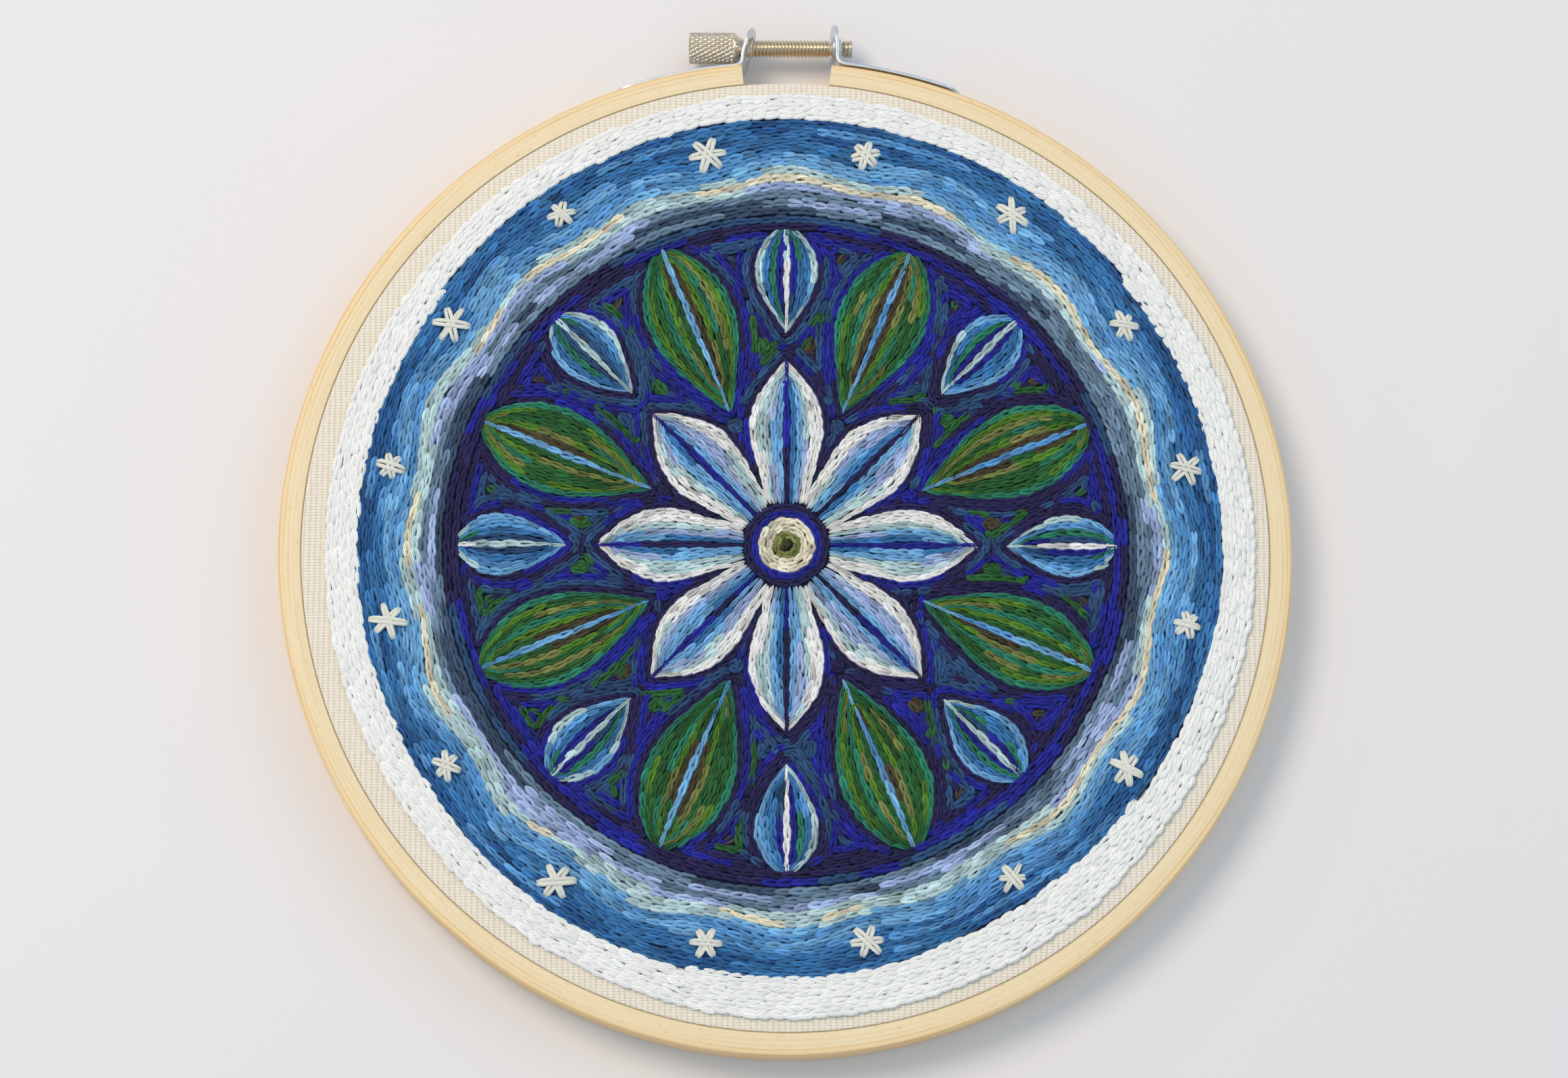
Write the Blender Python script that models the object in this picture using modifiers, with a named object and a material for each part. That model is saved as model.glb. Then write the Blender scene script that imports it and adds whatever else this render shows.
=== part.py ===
# Embroidery hoop with its stretched and stitched cloth, lying on its back with the front face up.
# Metres, +Z up. The closing screw points along X on the +Y side, and the origin is under the middle
# of the whole piece, on the surface that it lies on.

import math
from collections import namedtuple

import bmesh
import bpy

# Driving dimensions.
HOOP_RADIUS = 0.0800
WOOD_THICKNESS = 0.0037
OUTER_DEPTH = 0.0095
CLOTH_THICKNESS = 0.0010
CLEARANCE = 0.0003
EAR_REACH = 0.0875
HOOP_CENTRE_Y = -(EAR_REACH - HOOP_RADIUS) / 2

# The two wooden rings with the cloth between them.
OUTER_BORE = HOOP_RADIUS - WOOD_THICKNESS
CLOTH_RADIUS = OUTER_BORE - CLEARANCE
INNER_RADIUS = CLOTH_RADIUS - CLOTH_THICKNESS - CLEARANCE
INNER_BORE = INNER_RADIUS - WOOD_THICKNESS
INNER_DEPTH = OUTER_DEPTH - CLOTH_THICKNESS - CLEARANCE
FRONT_ROUNDING = 0.0009
EDGE_ROUNDING = 0.0004
OUTER_STEPS = 96
INNER_STEPS = 64

# The split in the outer ring, a little wider outside than inside.
GAP_INNER_WIDTH = 0.0138
GAP_OUTER_WIDTH = 0.0146

# The cloth, drawn over the inner ring and down between the rings.
CLOTH_TOP = OUTER_DEPTH
CLOTH_HEM_HEIGHT = 0.0006
CLOTH_ROUNDING = 0.0016
CLOTH_STEPS = 72

# Stitching lies just above the cloth.
STITCH_BOTTOM = CLOTH_TOP + CLEARANCE
BORDER_ROW_TOP = 0.0108
BORDER_FURROW = 0.0103
BORDER_ROWS = 3
BORDER_STEPS = 72
BAND_ROW_TOP = 0.0107
BAND_FURROW = 0.0103
BAND_ROWS = 4
BAND_STEPS = 96
BAND_INNER_RADIUS = 0.0542
BAND_WAVES = 16
BAND_WAVE_HEIGHT = 0.0011
GROUND_TOP = 0.0104
MOTIF_TOP = 0.0109
MOTIF_BEVEL = 0.0004

# The white ring's edges at angles counted from +X towards +Y, as uneven as the real stitching.
BorderSection = namedtuple("BorderSection", "degrees inner outer")
BORDER_SECTIONS = (
    BorderSection(0, 0.0690, 0.0739),
    BorderSection(30, 0.0695, 0.0739),
    BorderSection(60, 0.0702, 0.0739),
    BorderSection(90, 0.0702, 0.0743),
    BorderSection(120, 0.0697, 0.0737),
    BorderSection(150, 0.0685, 0.0728),
    BorderSection(180, 0.0680, 0.0725),
    BorderSection(210, 0.0678, 0.0725),
    BorderSection(240, 0.0685, 0.0736),
    BorderSection(270, 0.0684, 0.0743),
    BorderSection(300, 0.0672, 0.0741),
    BorderSection(330, 0.0681, 0.0735),
)

# Petals grow outwards from the middle, and leaves inwards from a ring.
PETALS = 8
PETAL_ROOT = 0.0090
PETAL_TIP = 0.0300
PETAL_SWELL = 0.0041
PETAL_POINTS = 6
WREATH_OUTER_RADIUS = BAND_INNER_RADIUS - CLEARANCE
WREATH_INNER_RADIUS = 0.0515
LeafShape = namedtuple("LeafShape", "tip stalk swell")
LARGE_LEAF = LeafShape(tip=0.0230, stalk=0.0014, swell=0.0062)
SMALL_LEAF = LeafShape(tip=0.0345, stalk=0.0014, swell=0.0042)
LEAF_POINTS = 6
MOTIF_MARGIN = 0.0005
PETAL_FULLNESS = 1.2
LEAF_FULLNESS = 0.8
WREATH_STEPS = 64

# Bent sheet-metal straps with an ear each.
SHEET = 0.0005
STRAP_WIDTH = 0.0080
STRAP_RADIUS = HOOP_RADIUS + CLEARANCE + SHEET / 2
STRAP_END_DEGREES = 20.6
STRAP_POINTS = 12
END_ROUNDING = 0.0030
ROUNDING_POINTS = 4
FILLET_POINTS = 4
MID_DEPTH = OUTER_DEPTH / 2
Ear = namedtuple("Ear", "base_x base_y top_x top_y fillet")
LEFT_EAR = Ear(base_x=-0.00752, base_y=0.0802, top_x=-0.00545, top_y=0.0870, fillet=0.0010)
RIGHT_EAR = Ear(base_x=0.00785, base_y=0.0802, top_x=0.00750, top_y=EAR_REACH, fillet=0.0022)

# The screw, whose axis runs along X through both ears.
SCREW_Y = 0.08385
CREST_RADIUS = 0.00147
ROOT_RADIUS = 0.00112
THREAD_PITCH = 0.000575
THREAD_STEPS = 12
THREAD_LEFT = -0.0057
SCREW_RIGHT = 0.01083
POINT_RADIUS = 0.0010
NECK_LEFT = 0.0069
NECK_RIGHT = 0.0094
HEAD_LEFT = -0.0158
HEAD_RIGHT = -0.00755
HEAD_RADIUS = 0.00255
HEAD_SHOULDER_RADIUS = 0.0018
HEAD_CHAMFER = 0.0006
HEAD_LIP = 0.0002
KNURL_DEPTH = 0.0003
KNURL_STEPS = 30
KNURL_ROWS = 10
LEFT_HOLE_RADIUS = CREST_RADIUS + 0.0004
RIGHT_HOLE_RADIUS = ROOT_RADIUS + CLEARANCE
COLLAR_RADIUS = 0.00185
COLLAR_ROOT_RADIUS = 0.0021
COLLAR_LEFT = 0.0076
COLLAR_ROOT = 0.0083
COLLAR_RIGHT = 0.00906
HOLE_SIDES = 20
HOLE_CUTTER_LENGTH = 0.0060


def clear_scene():
    for old in list(bpy.data.objects):
        bpy.data.objects.remove(old, do_unlink=True)


def new_collection(name):
    collection = bpy.data.collections.new(name)
    bpy.context.scene.collection.children.link(collection)
    return collection


def add_material(obj, colour, roughness, metallic=0.0):
    material = bpy.data.materials.new(obj.name)
    material.use_nodes = True
    shader = material.node_tree.nodes["Principled BSDF"]
    shader.inputs["Base Color"].default_value = (*colour, 1.0)
    shader.inputs["Roughness"].default_value = roughness
    shader.inputs["Metallic"].default_value = metallic
    obj.data.materials.clear()
    obj.data.materials.append(material)


def place(obj, collection, centre):
    collection.objects.link(obj)
    obj.parent = centre
    return obj


def as_helper(obj):
    obj.hide_render = True
    obj.display_type = "WIRE"
    return obj


def evaluated_mesh(obj, name):
    bpy.context.view_layer.update()
    graph = bpy.context.evaluated_depsgraph_get()
    mesh = bpy.data.meshes.new_from_object(obj.evaluated_get(graph))
    mesh.name = name
    return mesh


def add_boolean(obj, other, operation):
    boolean = obj.modifiers.new(other.name, "BOOLEAN")
    boolean.operation = operation
    boolean.solver = "EXACT"
    boolean.object = other


def shade_smooth(obj, degrees=35):
    obj.data.shade_smooth()
    obj.data.set_sharp_from_angle(angle=math.radians(degrees))


def turned(name, profile, steps, closed):
    """A Screw modifier turns the profile's (radius, height) points about Z."""
    mesh = bpy.data.meshes.new(name)
    edges = [(index, index + 1) for index in range(len(profile) - 1)]
    if closed:
        edges.append((len(profile) - 1, 0))
    mesh.from_pydata([(radius, 0.0, height) for radius, height in profile], edges, [])
    obj = bpy.data.objects.new(name, mesh)
    screw = obj.modifiers.new("Turn", "SCREW")
    screw.axis = "Z"
    screw.angle = math.tau
    screw.steps = steps
    screw.render_steps = steps
    screw.use_merge_vertices = True
    screw.merge_threshold = 0.00001
    screw.use_smooth_shade = True
    return obj


def corner_points(centre_radius, centre_height, rounding, first_degrees, last_degrees, count):
    """Points of a rounded profile corner, 0 degrees pointing away from the axis."""
    points = []
    for index in range(count):
        angle = math.radians(first_degrees + (last_degrees - first_degrees) * index / (count - 1))
        radius = centre_radius + rounding * math.cos(angle)
        points.append((radius, centre_height + rounding * math.sin(angle)))
    return points


def ring_profile(bore, radius, depth):
    """A wooden ring's section, from its front outer edge down, round the back and up the bore."""
    profile = corner_points(
        radius - FRONT_ROUNDING, depth - FRONT_ROUNDING, FRONT_ROUNDING, 90, 0, 3
    )
    profile += [(radius, EDGE_ROUNDING), (radius - EDGE_ROUNDING, 0.0)]
    profile += [(bore + EDGE_ROUNDING, 0.0), (bore, EDGE_ROUNDING)]
    profile += [(bore, depth - EDGE_ROUNDING), (bore + EDGE_ROUNDING, depth)]
    return profile


def flat_prism(name, outlines, low, high):
    """A flat filled curve, thickened from low to high and made a welded mesh."""
    curve = bpy.data.curves.new(name, "CURVE")
    curve.dimensions = "2D"
    curve.fill_mode = "BOTH"
    curve.extrude = (high - low) / 2
    for outline in outlines:
        spline = curve.splines.new("POLY")
        spline.points.add(len(outline) - 1)
        for point, (x, y) in zip(spline.points, outline):
            point.co = (x, y, 0.0, 1.0)
        spline.use_cyclic_u = True
    guide = bpy.data.objects.new(name + "_outline", curve)
    bpy.context.scene.collection.objects.link(guide)
    mesh = evaluated_mesh(guide, name)
    bpy.data.objects.remove(guide, do_unlink=True)
    bm = bmesh.new()
    bm.from_mesh(mesh)
    bmesh.ops.remove_doubles(bm, verts=bm.verts, dist=0.00001)
    bmesh.ops.translate(bm, verts=bm.verts, vec=(0.0, 0.0, (low + high) / 2))
    bmesh.ops.recalc_face_normals(bm, faces=bm.faces)
    bm.to_mesh(mesh)
    bm.free()
    return bpy.data.objects.new(name, mesh)


def bevel_top(obj, height, width):
    """Rounds the rim of a prism's upper face."""
    bm = bmesh.new()
    bm.from_mesh(obj.data)
    top_faces = [face for face in bm.faces if face.normal.z > 0.9]
    bmesh.ops.dissolve_faces(bm, faces=top_faces)
    rim = []
    for edge in bm.edges:
        at_top = all(abs(vert.co.z - height) < 0.00001 for vert in edge.verts)
        upward = [face for face in edge.link_faces if face.normal.z > 0.9]
        if at_top and len(upward) == 1:
            rim.append(edge)
    bmesh.ops.bevel(
        bm, geom=rim, offset=width, segments=1, profile=0.5, affect="EDGES", material=-1
    )
    bm.to_mesh(obj.data)
    bm.free()


def circle_outline(radius, count):
    return [
        (radius * math.cos(math.tau * index / count), radius * math.sin(math.tau * index / count))
        for index in range(count)
    ]


def petal_outline(margin):
    """The rosette's outline: each petal runs from one valley to its tip and back to the next."""
    outline = []
    root = PETAL_ROOT + margin
    valley_width = root * math.tan(math.pi / PETALS)
    tip = PETAL_TIP + 2 * margin
    for petal in range(PETALS):
        turn = math.tau * petal / PETALS
        for side in (-1, 1):
            for index in range(PETAL_POINTS):
                share = index / PETAL_POINTS if side < 0 else 1 - index / PETAL_POINTS
                swell = (PETAL_SWELL + margin) * math.sin(math.pi * share**PETAL_FULLNESS)
                along = root + (tip - root) * share
                across = side * (valley_width * (1 - share) + swell)
                x = along * math.cos(turn) - across * math.sin(turn)
                y = along * math.sin(turn) + across * math.cos(turn)
                outline.append((x, y))
    return outline


def leaf_side(shape, margin, side):
    """(distance from the centre, offset across) down one side of a leaf, from its stalk to its tip."""
    points = [(WREATH_INNER_RADIUS - margin, side * (shape.stalk + 2 * margin))]
    for index in range(1, LEAF_POINTS):
        share = index / LEAF_POINTS
        swell = shape.swell * math.sin(math.pi * share**LEAF_FULLNESS)
        along = WREATH_INNER_RADIUS + (shape.tip - WREATH_INNER_RADIUS) * share
        points.append((along, side * (shape.stalk * (1 - share) + swell + margin)))
    return points


def wreath_outline(margin):
    """The wreath's inner edge: a circle that the leaves reach in from, grown by the margin."""
    outline = []
    ring_radius = WREATH_INNER_RADIUS - margin
    leaves = 2 * PETALS
    for leaf in range(leaves):
        shape = SMALL_LEAF if leaf % 2 == 0 else LARGE_LEAF
        turn = math.tau * leaf / leaves
        right = leaf_side(shape, margin, -1)
        left = leaf_side(shape, margin, 1)
        tip = (shape.tip - 2 * margin, 0.0)
        for along, across in right + [tip] + left[::-1]:
            x = along * math.cos(turn) - across * math.sin(turn)
            y = along * math.sin(turn) + across * math.cos(turn)
            outline.append((x, y))
        between = turn + math.pi / leaves
        outline.append((ring_radius * math.cos(between), ring_radius * math.sin(between)))
    return outline


def border_edge(angle, column):
    """An edge radius of the white ring, eased between the table's sections."""
    position = (math.degrees(angle) % 360) / 360 * len(BORDER_SECTIONS)
    first = int(position) % len(BORDER_SECTIONS)
    second = (first + 1) % len(BORDER_SECTIONS)
    blend = (1 - math.cos(math.pi * (position - int(position)))) / 2
    before = getattr(BORDER_SECTIONS[first], column)
    after = getattr(BORDER_SECTIONS[second], column)
    return before + (after - before) * blend


def border_radius(share, angle):
    inner = border_edge(angle, "inner")
    return inner + (border_edge(angle, "outer") - inner) * share


def band_radius(share, angle):
    """The band fills the room up to the white ring, and its middle rows run in waves."""
    outer = border_edge(angle, "inner") - CLEARANCE
    wave = BAND_WAVE_HEIGHT * math.cos(BAND_WAVES * angle) * math.sin(math.pi * share) ** 2
    return BAND_INNER_RADIUS + (outer - BAND_INNER_RADIUS) * share + wave


def row_profile(rows, row_top, furrow):
    """(share of the width, height) round a stitched ring's section, one ridge for each group of rows."""
    profile = [(1.0, STITCH_BOTTOM), (0.0, STITCH_BOTTOM)]
    for row in range(rows):
        profile += [(row / rows, furrow), ((row + 0.5) / rows, row_top)]
    profile.append((1.0, furrow))
    return profile


def stitched_ring(name, profile, steps, radius_at):
    """A ring spun from its profile, then moved in or out by the radius wanted at each angle."""
    bm = bmesh.new()
    verts = [bm.verts.new((1.0 + share, 0.0, height)) for share, height in profile]
    edges = [bm.edges.new(pair) for pair in zip(verts, verts[1:] + verts[:1])]
    bmesh.ops.spin(
        bm,
        geom=verts + edges,
        cent=(0.0, 0.0, 0.0),
        axis=(0.0, 0.0, 1.0),
        angle=math.tau,
        steps=steps,
        use_merge=True,
    )
    for vert in bm.verts:
        angle = math.atan2(vert.co.y, vert.co.x)
        radius = radius_at(math.hypot(vert.co.x, vert.co.y) - 1.0, angle)
        vert.co.x = radius * math.cos(angle)
        vert.co.y = radius * math.sin(angle)
    bmesh.ops.recalc_face_normals(bm, faces=bm.faces)
    mesh = bpy.data.meshes.new(name)
    bm.to_mesh(mesh)
    bm.free()
    return bpy.data.objects.new(name, mesh)


def make_outer_hoop(parts, helpers, centre):
    profile = ring_profile(OUTER_BORE, HOOP_RADIUS, OUTER_DEPTH)
    hoop = place(turned("outer_hoop", profile, OUTER_STEPS, closed=True), parts, centre)
    inner = OUTER_BORE - WOOD_THICKNESS
    outer = HOOP_RADIUS + WOOD_THICKNESS
    widening = (GAP_OUTER_WIDTH - GAP_INNER_WIDTH) / WOOD_THICKNESS
    inner_half = (GAP_INNER_WIDTH - widening * WOOD_THICKNESS) / 2
    outer_half = (GAP_OUTER_WIDTH + widening * WOOD_THICKNESS) / 2
    wedge = [(-inner_half, inner), (inner_half, inner), (outer_half, outer), (-outer_half, outer)]
    gap = flat_prism("gap_cutter", [wedge], -OUTER_DEPTH, 2 * OUTER_DEPTH)
    place(as_helper(gap), helpers, centre)
    add_boolean(hoop, gap, "DIFFERENCE")
    add_material(hoop, (0.83, 0.66, 0.42), 0.5)


def make_inner_hoop(parts, centre):
    profile = ring_profile(INNER_BORE, INNER_RADIUS, INNER_DEPTH)
    hoop = place(turned("inner_hoop", profile, INNER_STEPS, closed=True), parts, centre)
    add_material(hoop, (0.80, 0.63, 0.40), 0.55)


def make_cloth(parts, centre):
    inner_rounding = CLOTH_ROUNDING - CLOTH_THICKNESS / 2
    skirt = CLOTH_RADIUS - CLOTH_THICKNESS
    underside = CLOTH_TOP - CLOTH_THICKNESS
    profile = [(0.0, CLOTH_TOP)]
    profile += corner_points(
        CLOTH_RADIUS - CLOTH_ROUNDING, CLOTH_TOP - CLOTH_ROUNDING, CLOTH_ROUNDING, 90, 0, 4
    )
    profile += [(CLOTH_RADIUS, CLOTH_HEM_HEIGHT), (skirt, CLOTH_HEM_HEIGHT)]
    profile += corner_points(
        skirt - inner_rounding, underside - inner_rounding, inner_rounding, 0, 90, 3
    )
    profile.append((0.0, underside))
    cloth = place(turned("ground_cloth", profile, CLOTH_STEPS, closed=False), parts, centre)
    add_material(cloth, (0.84, 0.78, 0.67), 0.9)


def make_border_stitching(parts, centre):
    profile = row_profile(BORDER_ROWS, BORDER_ROW_TOP, BORDER_FURROW)
    border = stitched_ring("border_stitching", profile, BORDER_STEPS, border_radius)
    add_material(border, (0.86, 0.88, 0.88), 0.6)
    shade_smooth(place(border, parts, centre))


def make_band_stitching(parts, centre):
    profile = row_profile(BAND_ROWS, BAND_ROW_TOP, BAND_FURROW)
    band = stitched_ring("band_stitching", profile, BAND_STEPS, band_radius)
    add_material(band, (0.40, 0.62, 0.74), 0.6)
    shade_smooth(place(band, parts, centre))


def make_wreath_stitching(parts, centre):
    outlines = [circle_outline(WREATH_OUTER_RADIUS, WREATH_STEPS), wreath_outline(0.0)]
    wreath = flat_prism("wreath_stitching", outlines, STITCH_BOTTOM, MOTIF_TOP)
    bevel_top(wreath, MOTIF_TOP, MOTIF_BEVEL)
    add_material(wreath, (0.05, 0.17, 0.12), 0.6)
    place(wreath, parts, centre)


def make_ground_stitching(parts, centre):
    outlines = [wreath_outline(MOTIF_MARGIN), petal_outline(MOTIF_MARGIN)]
    ground = flat_prism("ground_stitching", outlines, STITCH_BOTTOM, GROUND_TOP)
    add_material(ground, (0.04, 0.20, 0.45), 0.6)
    place(ground, parts, centre)


def make_rosette_stitching(parts, centre):
    rosette = flat_prism("rosette_stitching", [petal_outline(0.0)], STITCH_BOTTOM, MOTIF_TOP)
    bevel_top(rosette, MOTIF_TOP, MOTIF_BEVEL)
    add_material(rosette, (0.62, 0.72, 0.78), 0.6)
    place(rosette, parts, centre)


def clasp_path(ear, side):
    """The middle of the bent sheet seen from the front, from the strap's end to the ear's top."""
    lean = math.atan2(ear.top_y - ear.base_y, ear.top_x - ear.base_x)
    base_angle = math.atan2(ear.base_y, ear.base_x)
    heading = base_angle + side * math.pi / 2
    turn = (lean - heading + math.pi) % math.tau - math.pi
    setback = ear.fillet * math.tan(abs(turn) / 2)
    end_angle = math.pi / 2 - side * math.radians(STRAP_END_DEGREES)
    stop_angle = base_angle - side * setback / STRAP_RADIUS
    rounding_angle = END_ROUNDING / STRAP_RADIUS
    angles = [
        end_angle + side * rounding_angle * index / ROUNDING_POINTS
        for index in range(ROUNDING_POINTS)
    ]
    start_angle = end_angle + side * rounding_angle
    angles += [
        start_angle + (stop_angle - start_angle) * index / STRAP_POINTS
        for index in range(STRAP_POINTS + 1)
    ]
    path = [(STRAP_RADIUS * math.cos(angle), STRAP_RADIUS * math.sin(angle)) for angle in angles]
    bend_x, bend_y = path[-1]
    step = 2 * ear.fillet * math.sin(abs(turn) / FILLET_POINTS / 2)
    for index in range(FILLET_POINTS):
        direction = heading + turn * (index + 0.5) / FILLET_POINTS
        bend_x += step * math.cos(direction)
        bend_y += step * math.sin(direction)
        path.append((bend_x, bend_y))
    length = math.hypot(ear.top_x - bend_x, ear.top_y - bend_y)
    straight = length - END_ROUNDING
    distances = [
        straight + END_ROUNDING * index / ROUNDING_POINTS for index in range(ROUNDING_POINTS + 1)
    ]
    for distance in distances:
        share = distance / length
        path.append((bend_x + (ear.top_x - bend_x) * share, bend_y + (ear.top_y - bend_y) * share))
    return path


def strip_half_width(to_end):
    """Half the sheet's width at a distance from an end whose corners are rounded."""
    if to_end >= END_ROUNDING:
        return STRAP_WIDTH / 2
    inset = END_ROUNDING - to_end
    return STRAP_WIDTH / 2 - END_ROUNDING + math.sqrt(END_ROUNDING**2 - inset**2)


def bent_sheet(name, ear, side):
    """A flat grid laid along the path, then thickened to the sheet's gauge."""
    path = clasp_path(ear, side)
    travelled = [0.0]
    for (x0, y0), (x1, y1) in zip(path, path[1:]):
        travelled.append(travelled[-1] + math.hypot(x1 - x0, y1 - y0))
    bm = bmesh.new()
    bmesh.ops.create_grid(bm, x_segments=len(path) - 1, y_segments=2, size=0.5)
    for vert in bm.verts:
        column = round((vert.co.x + 0.5) * (len(path) - 1))
        to_end = min(travelled[column], travelled[-1] - travelled[column])
        height = MID_DEPTH + 2 * vert.co.y * strip_half_width(to_end)
        vert.co = (*path[column], height)
    mesh = bpy.data.meshes.new(name)
    bm.to_mesh(mesh)
    bm.free()
    clasp = bpy.data.objects.new(name, mesh)
    solidify = clasp.modifiers.new("Gauge", "SOLIDIFY")
    solidify.thickness = SHEET
    solidify.offset = 0.0
    solidify.use_even_offset = True
    return clasp


def along_screw(obj):
    """Turns a piece made about its own Z so that it lies on the screw's axis."""
    obj.location = (0.0, SCREW_Y, MID_DEPTH)
    obj.rotation_euler = (0.0, math.pi / 2, 0.0)
    return obj


def hole_cutter(name, middle_x, radius, helpers, centre):
    half = HOLE_CUTTER_LENGTH / 2
    profile = [(0.0, middle_x + half), (radius, middle_x + half)]
    profile += [(radius, middle_x - half), (0.0, middle_x - half)]
    cutter = along_screw(turned(name, profile, HOLE_SIDES, closed=False))
    return place(as_helper(cutter), helpers, centre)


def make_left_clasp(parts, helpers, centre):
    clasp = place(bent_sheet("left_clasp", LEFT_EAR, -1), parts, centre)
    middle = (LEFT_EAR.base_x + LEFT_EAR.top_x) / 2
    add_boolean(
        clasp, hole_cutter("left_hole", middle, LEFT_HOLE_RADIUS, helpers, centre), "DIFFERENCE"
    )
    add_material(clasp, (0.62, 0.64, 0.68), 0.3, 1.0)


def make_right_clasp(parts, helpers, centre):
    clasp = place(bent_sheet("right_clasp", RIGHT_EAR, 1), parts, centre)
    profile = [(0.0, COLLAR_RIGHT), (COLLAR_RADIUS, COLLAR_RIGHT), (COLLAR_RADIUS, COLLAR_ROOT)]
    profile += [(COLLAR_ROOT_RADIUS, COLLAR_LEFT), (0.0, COLLAR_LEFT)]
    collar = along_screw(turned("tapped_collar", profile, HOLE_SIDES, closed=False))
    place(as_helper(collar), helpers, centre)
    add_boolean(clasp, collar, "UNION")
    middle = (COLLAR_LEFT + COLLAR_RIGHT) / 2
    add_boolean(
        clasp, hole_cutter("right_hole", middle, RIGHT_HOLE_RADIUS, helpers, centre), "DIFFERENCE"
    )
    add_material(clasp, (0.62, 0.64, 0.68), 0.3, 1.0)


def thread_profile(left, right):
    """Ridges from right to left, one for each turn of the thread."""
    turns = max(1, round((right - left) / THREAD_PITCH))
    profile = []
    for turn in range(turns):
        start = right - (right - left) * turn / turns
        profile += [(ROOT_RADIUS, start), (CREST_RADIUS, start - (right - left) / turns / 2)]
    profile.append((ROOT_RADIUS, left))
    return profile


def knurled_head(helpers, centre):
    """A turned head whose grip has every other point of its grid pressed in, which leaves diamonds."""
    grip_right = HEAD_RIGHT - HEAD_CHAMFER
    grip_left = HEAD_LEFT + HEAD_LIP
    profile = [(0.0, HEAD_RIGHT), (HEAD_SHOULDER_RADIUS, HEAD_RIGHT)]
    for row in range(KNURL_ROWS):
        profile.append((HEAD_RADIUS, grip_right + (grip_left - grip_right) * row / (KNURL_ROWS - 1)))
    profile += [(HEAD_RADIUS - HEAD_LIP, HEAD_LEFT), (0.0, HEAD_LEFT)]
    blank = turned("head_blank", profile, KNURL_STEPS, closed=False)
    bpy.context.scene.collection.objects.link(blank)
    mesh = evaluated_mesh(blank, "knurled_head")
    bpy.data.objects.remove(blank, do_unlink=True)
    row_gap = (grip_right - grip_left) / (KNURL_ROWS - 1)
    for vert in mesh.vertices:
        radius = math.hypot(vert.co.x, vert.co.y)
        if radius < HEAD_RADIUS - HEAD_LIP / 2:
            continue
        row = round((grip_right - vert.co.z) / row_gap)
        column = round(math.atan2(vert.co.y, vert.co.x) / math.tau * KNURL_STEPS)
        if (row + column) % 2:
            vert.co.x *= (HEAD_RADIUS - KNURL_DEPTH) / HEAD_RADIUS
            vert.co.y *= (HEAD_RADIUS - KNURL_DEPTH) / HEAD_RADIUS
    head = along_screw(bpy.data.objects.new("knurled_head", mesh))
    return place(as_helper(head), helpers, centre)


def make_thumb_screw(parts, helpers, centre):
    point = CREST_RADIUS - POINT_RADIUS
    profile = [(0.0, SCREW_RIGHT), (POINT_RADIUS, SCREW_RIGHT)]
    profile += thread_profile(NECK_RIGHT, SCREW_RIGHT - point)
    profile += thread_profile(THREAD_LEFT, NECK_LEFT)
    profile += [(CREST_RADIUS, THREAD_LEFT), (CREST_RADIUS, HEAD_RIGHT - HEAD_CHAMFER)]
    profile.append((0.0, HEAD_RIGHT - HEAD_CHAMFER))
    screw = along_screw(turned("thumb_screw", profile, THREAD_STEPS, closed=False))
    place(screw, parts, centre)
    add_boolean(screw, knurled_head(helpers, centre), "UNION")
    add_material(screw, (0.62, 0.57, 0.48), 0.28, 1.0)


def main():
    clear_scene()
    parts = new_collection("hoop_embroidery_art")
    helpers = new_collection("cutters")
    centre = bpy.data.objects.new("hoop_centre", None)
    centre.location = (0.0, HOOP_CENTRE_Y, 0.0)
    parts.objects.link(centre)
    make_outer_hoop(parts, helpers, centre)
    make_inner_hoop(parts, centre)
    make_cloth(parts, centre)
    make_border_stitching(parts, centre)
    make_band_stitching(parts, centre)
    make_wreath_stitching(parts, centre)
    make_ground_stitching(parts, centre)
    make_rosette_stitching(parts, centre)
    make_left_clasp(parts, helpers, centre)
    make_right_clasp(parts, helpers, centre)
    make_thumb_screw(parts, helpers, centre)


main()
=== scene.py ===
import math
from functools import partial

import bmesh
import bpy
import numpy as np
from mathutils import Matrix, Vector
from mathutils.kdtree import KDTree


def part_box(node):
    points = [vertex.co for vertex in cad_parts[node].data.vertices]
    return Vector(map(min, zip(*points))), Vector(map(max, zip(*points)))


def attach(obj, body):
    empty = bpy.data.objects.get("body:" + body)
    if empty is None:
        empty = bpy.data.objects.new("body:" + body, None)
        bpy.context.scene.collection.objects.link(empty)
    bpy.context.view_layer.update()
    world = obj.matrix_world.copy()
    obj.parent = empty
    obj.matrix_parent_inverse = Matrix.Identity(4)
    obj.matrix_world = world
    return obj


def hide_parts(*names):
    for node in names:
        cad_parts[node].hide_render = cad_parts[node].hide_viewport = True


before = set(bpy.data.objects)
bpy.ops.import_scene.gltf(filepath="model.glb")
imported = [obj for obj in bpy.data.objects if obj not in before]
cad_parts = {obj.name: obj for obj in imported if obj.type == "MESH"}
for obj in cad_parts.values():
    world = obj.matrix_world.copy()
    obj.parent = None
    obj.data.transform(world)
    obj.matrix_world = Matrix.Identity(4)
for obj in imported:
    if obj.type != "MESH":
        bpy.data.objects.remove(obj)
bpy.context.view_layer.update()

mm = 0.001

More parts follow.
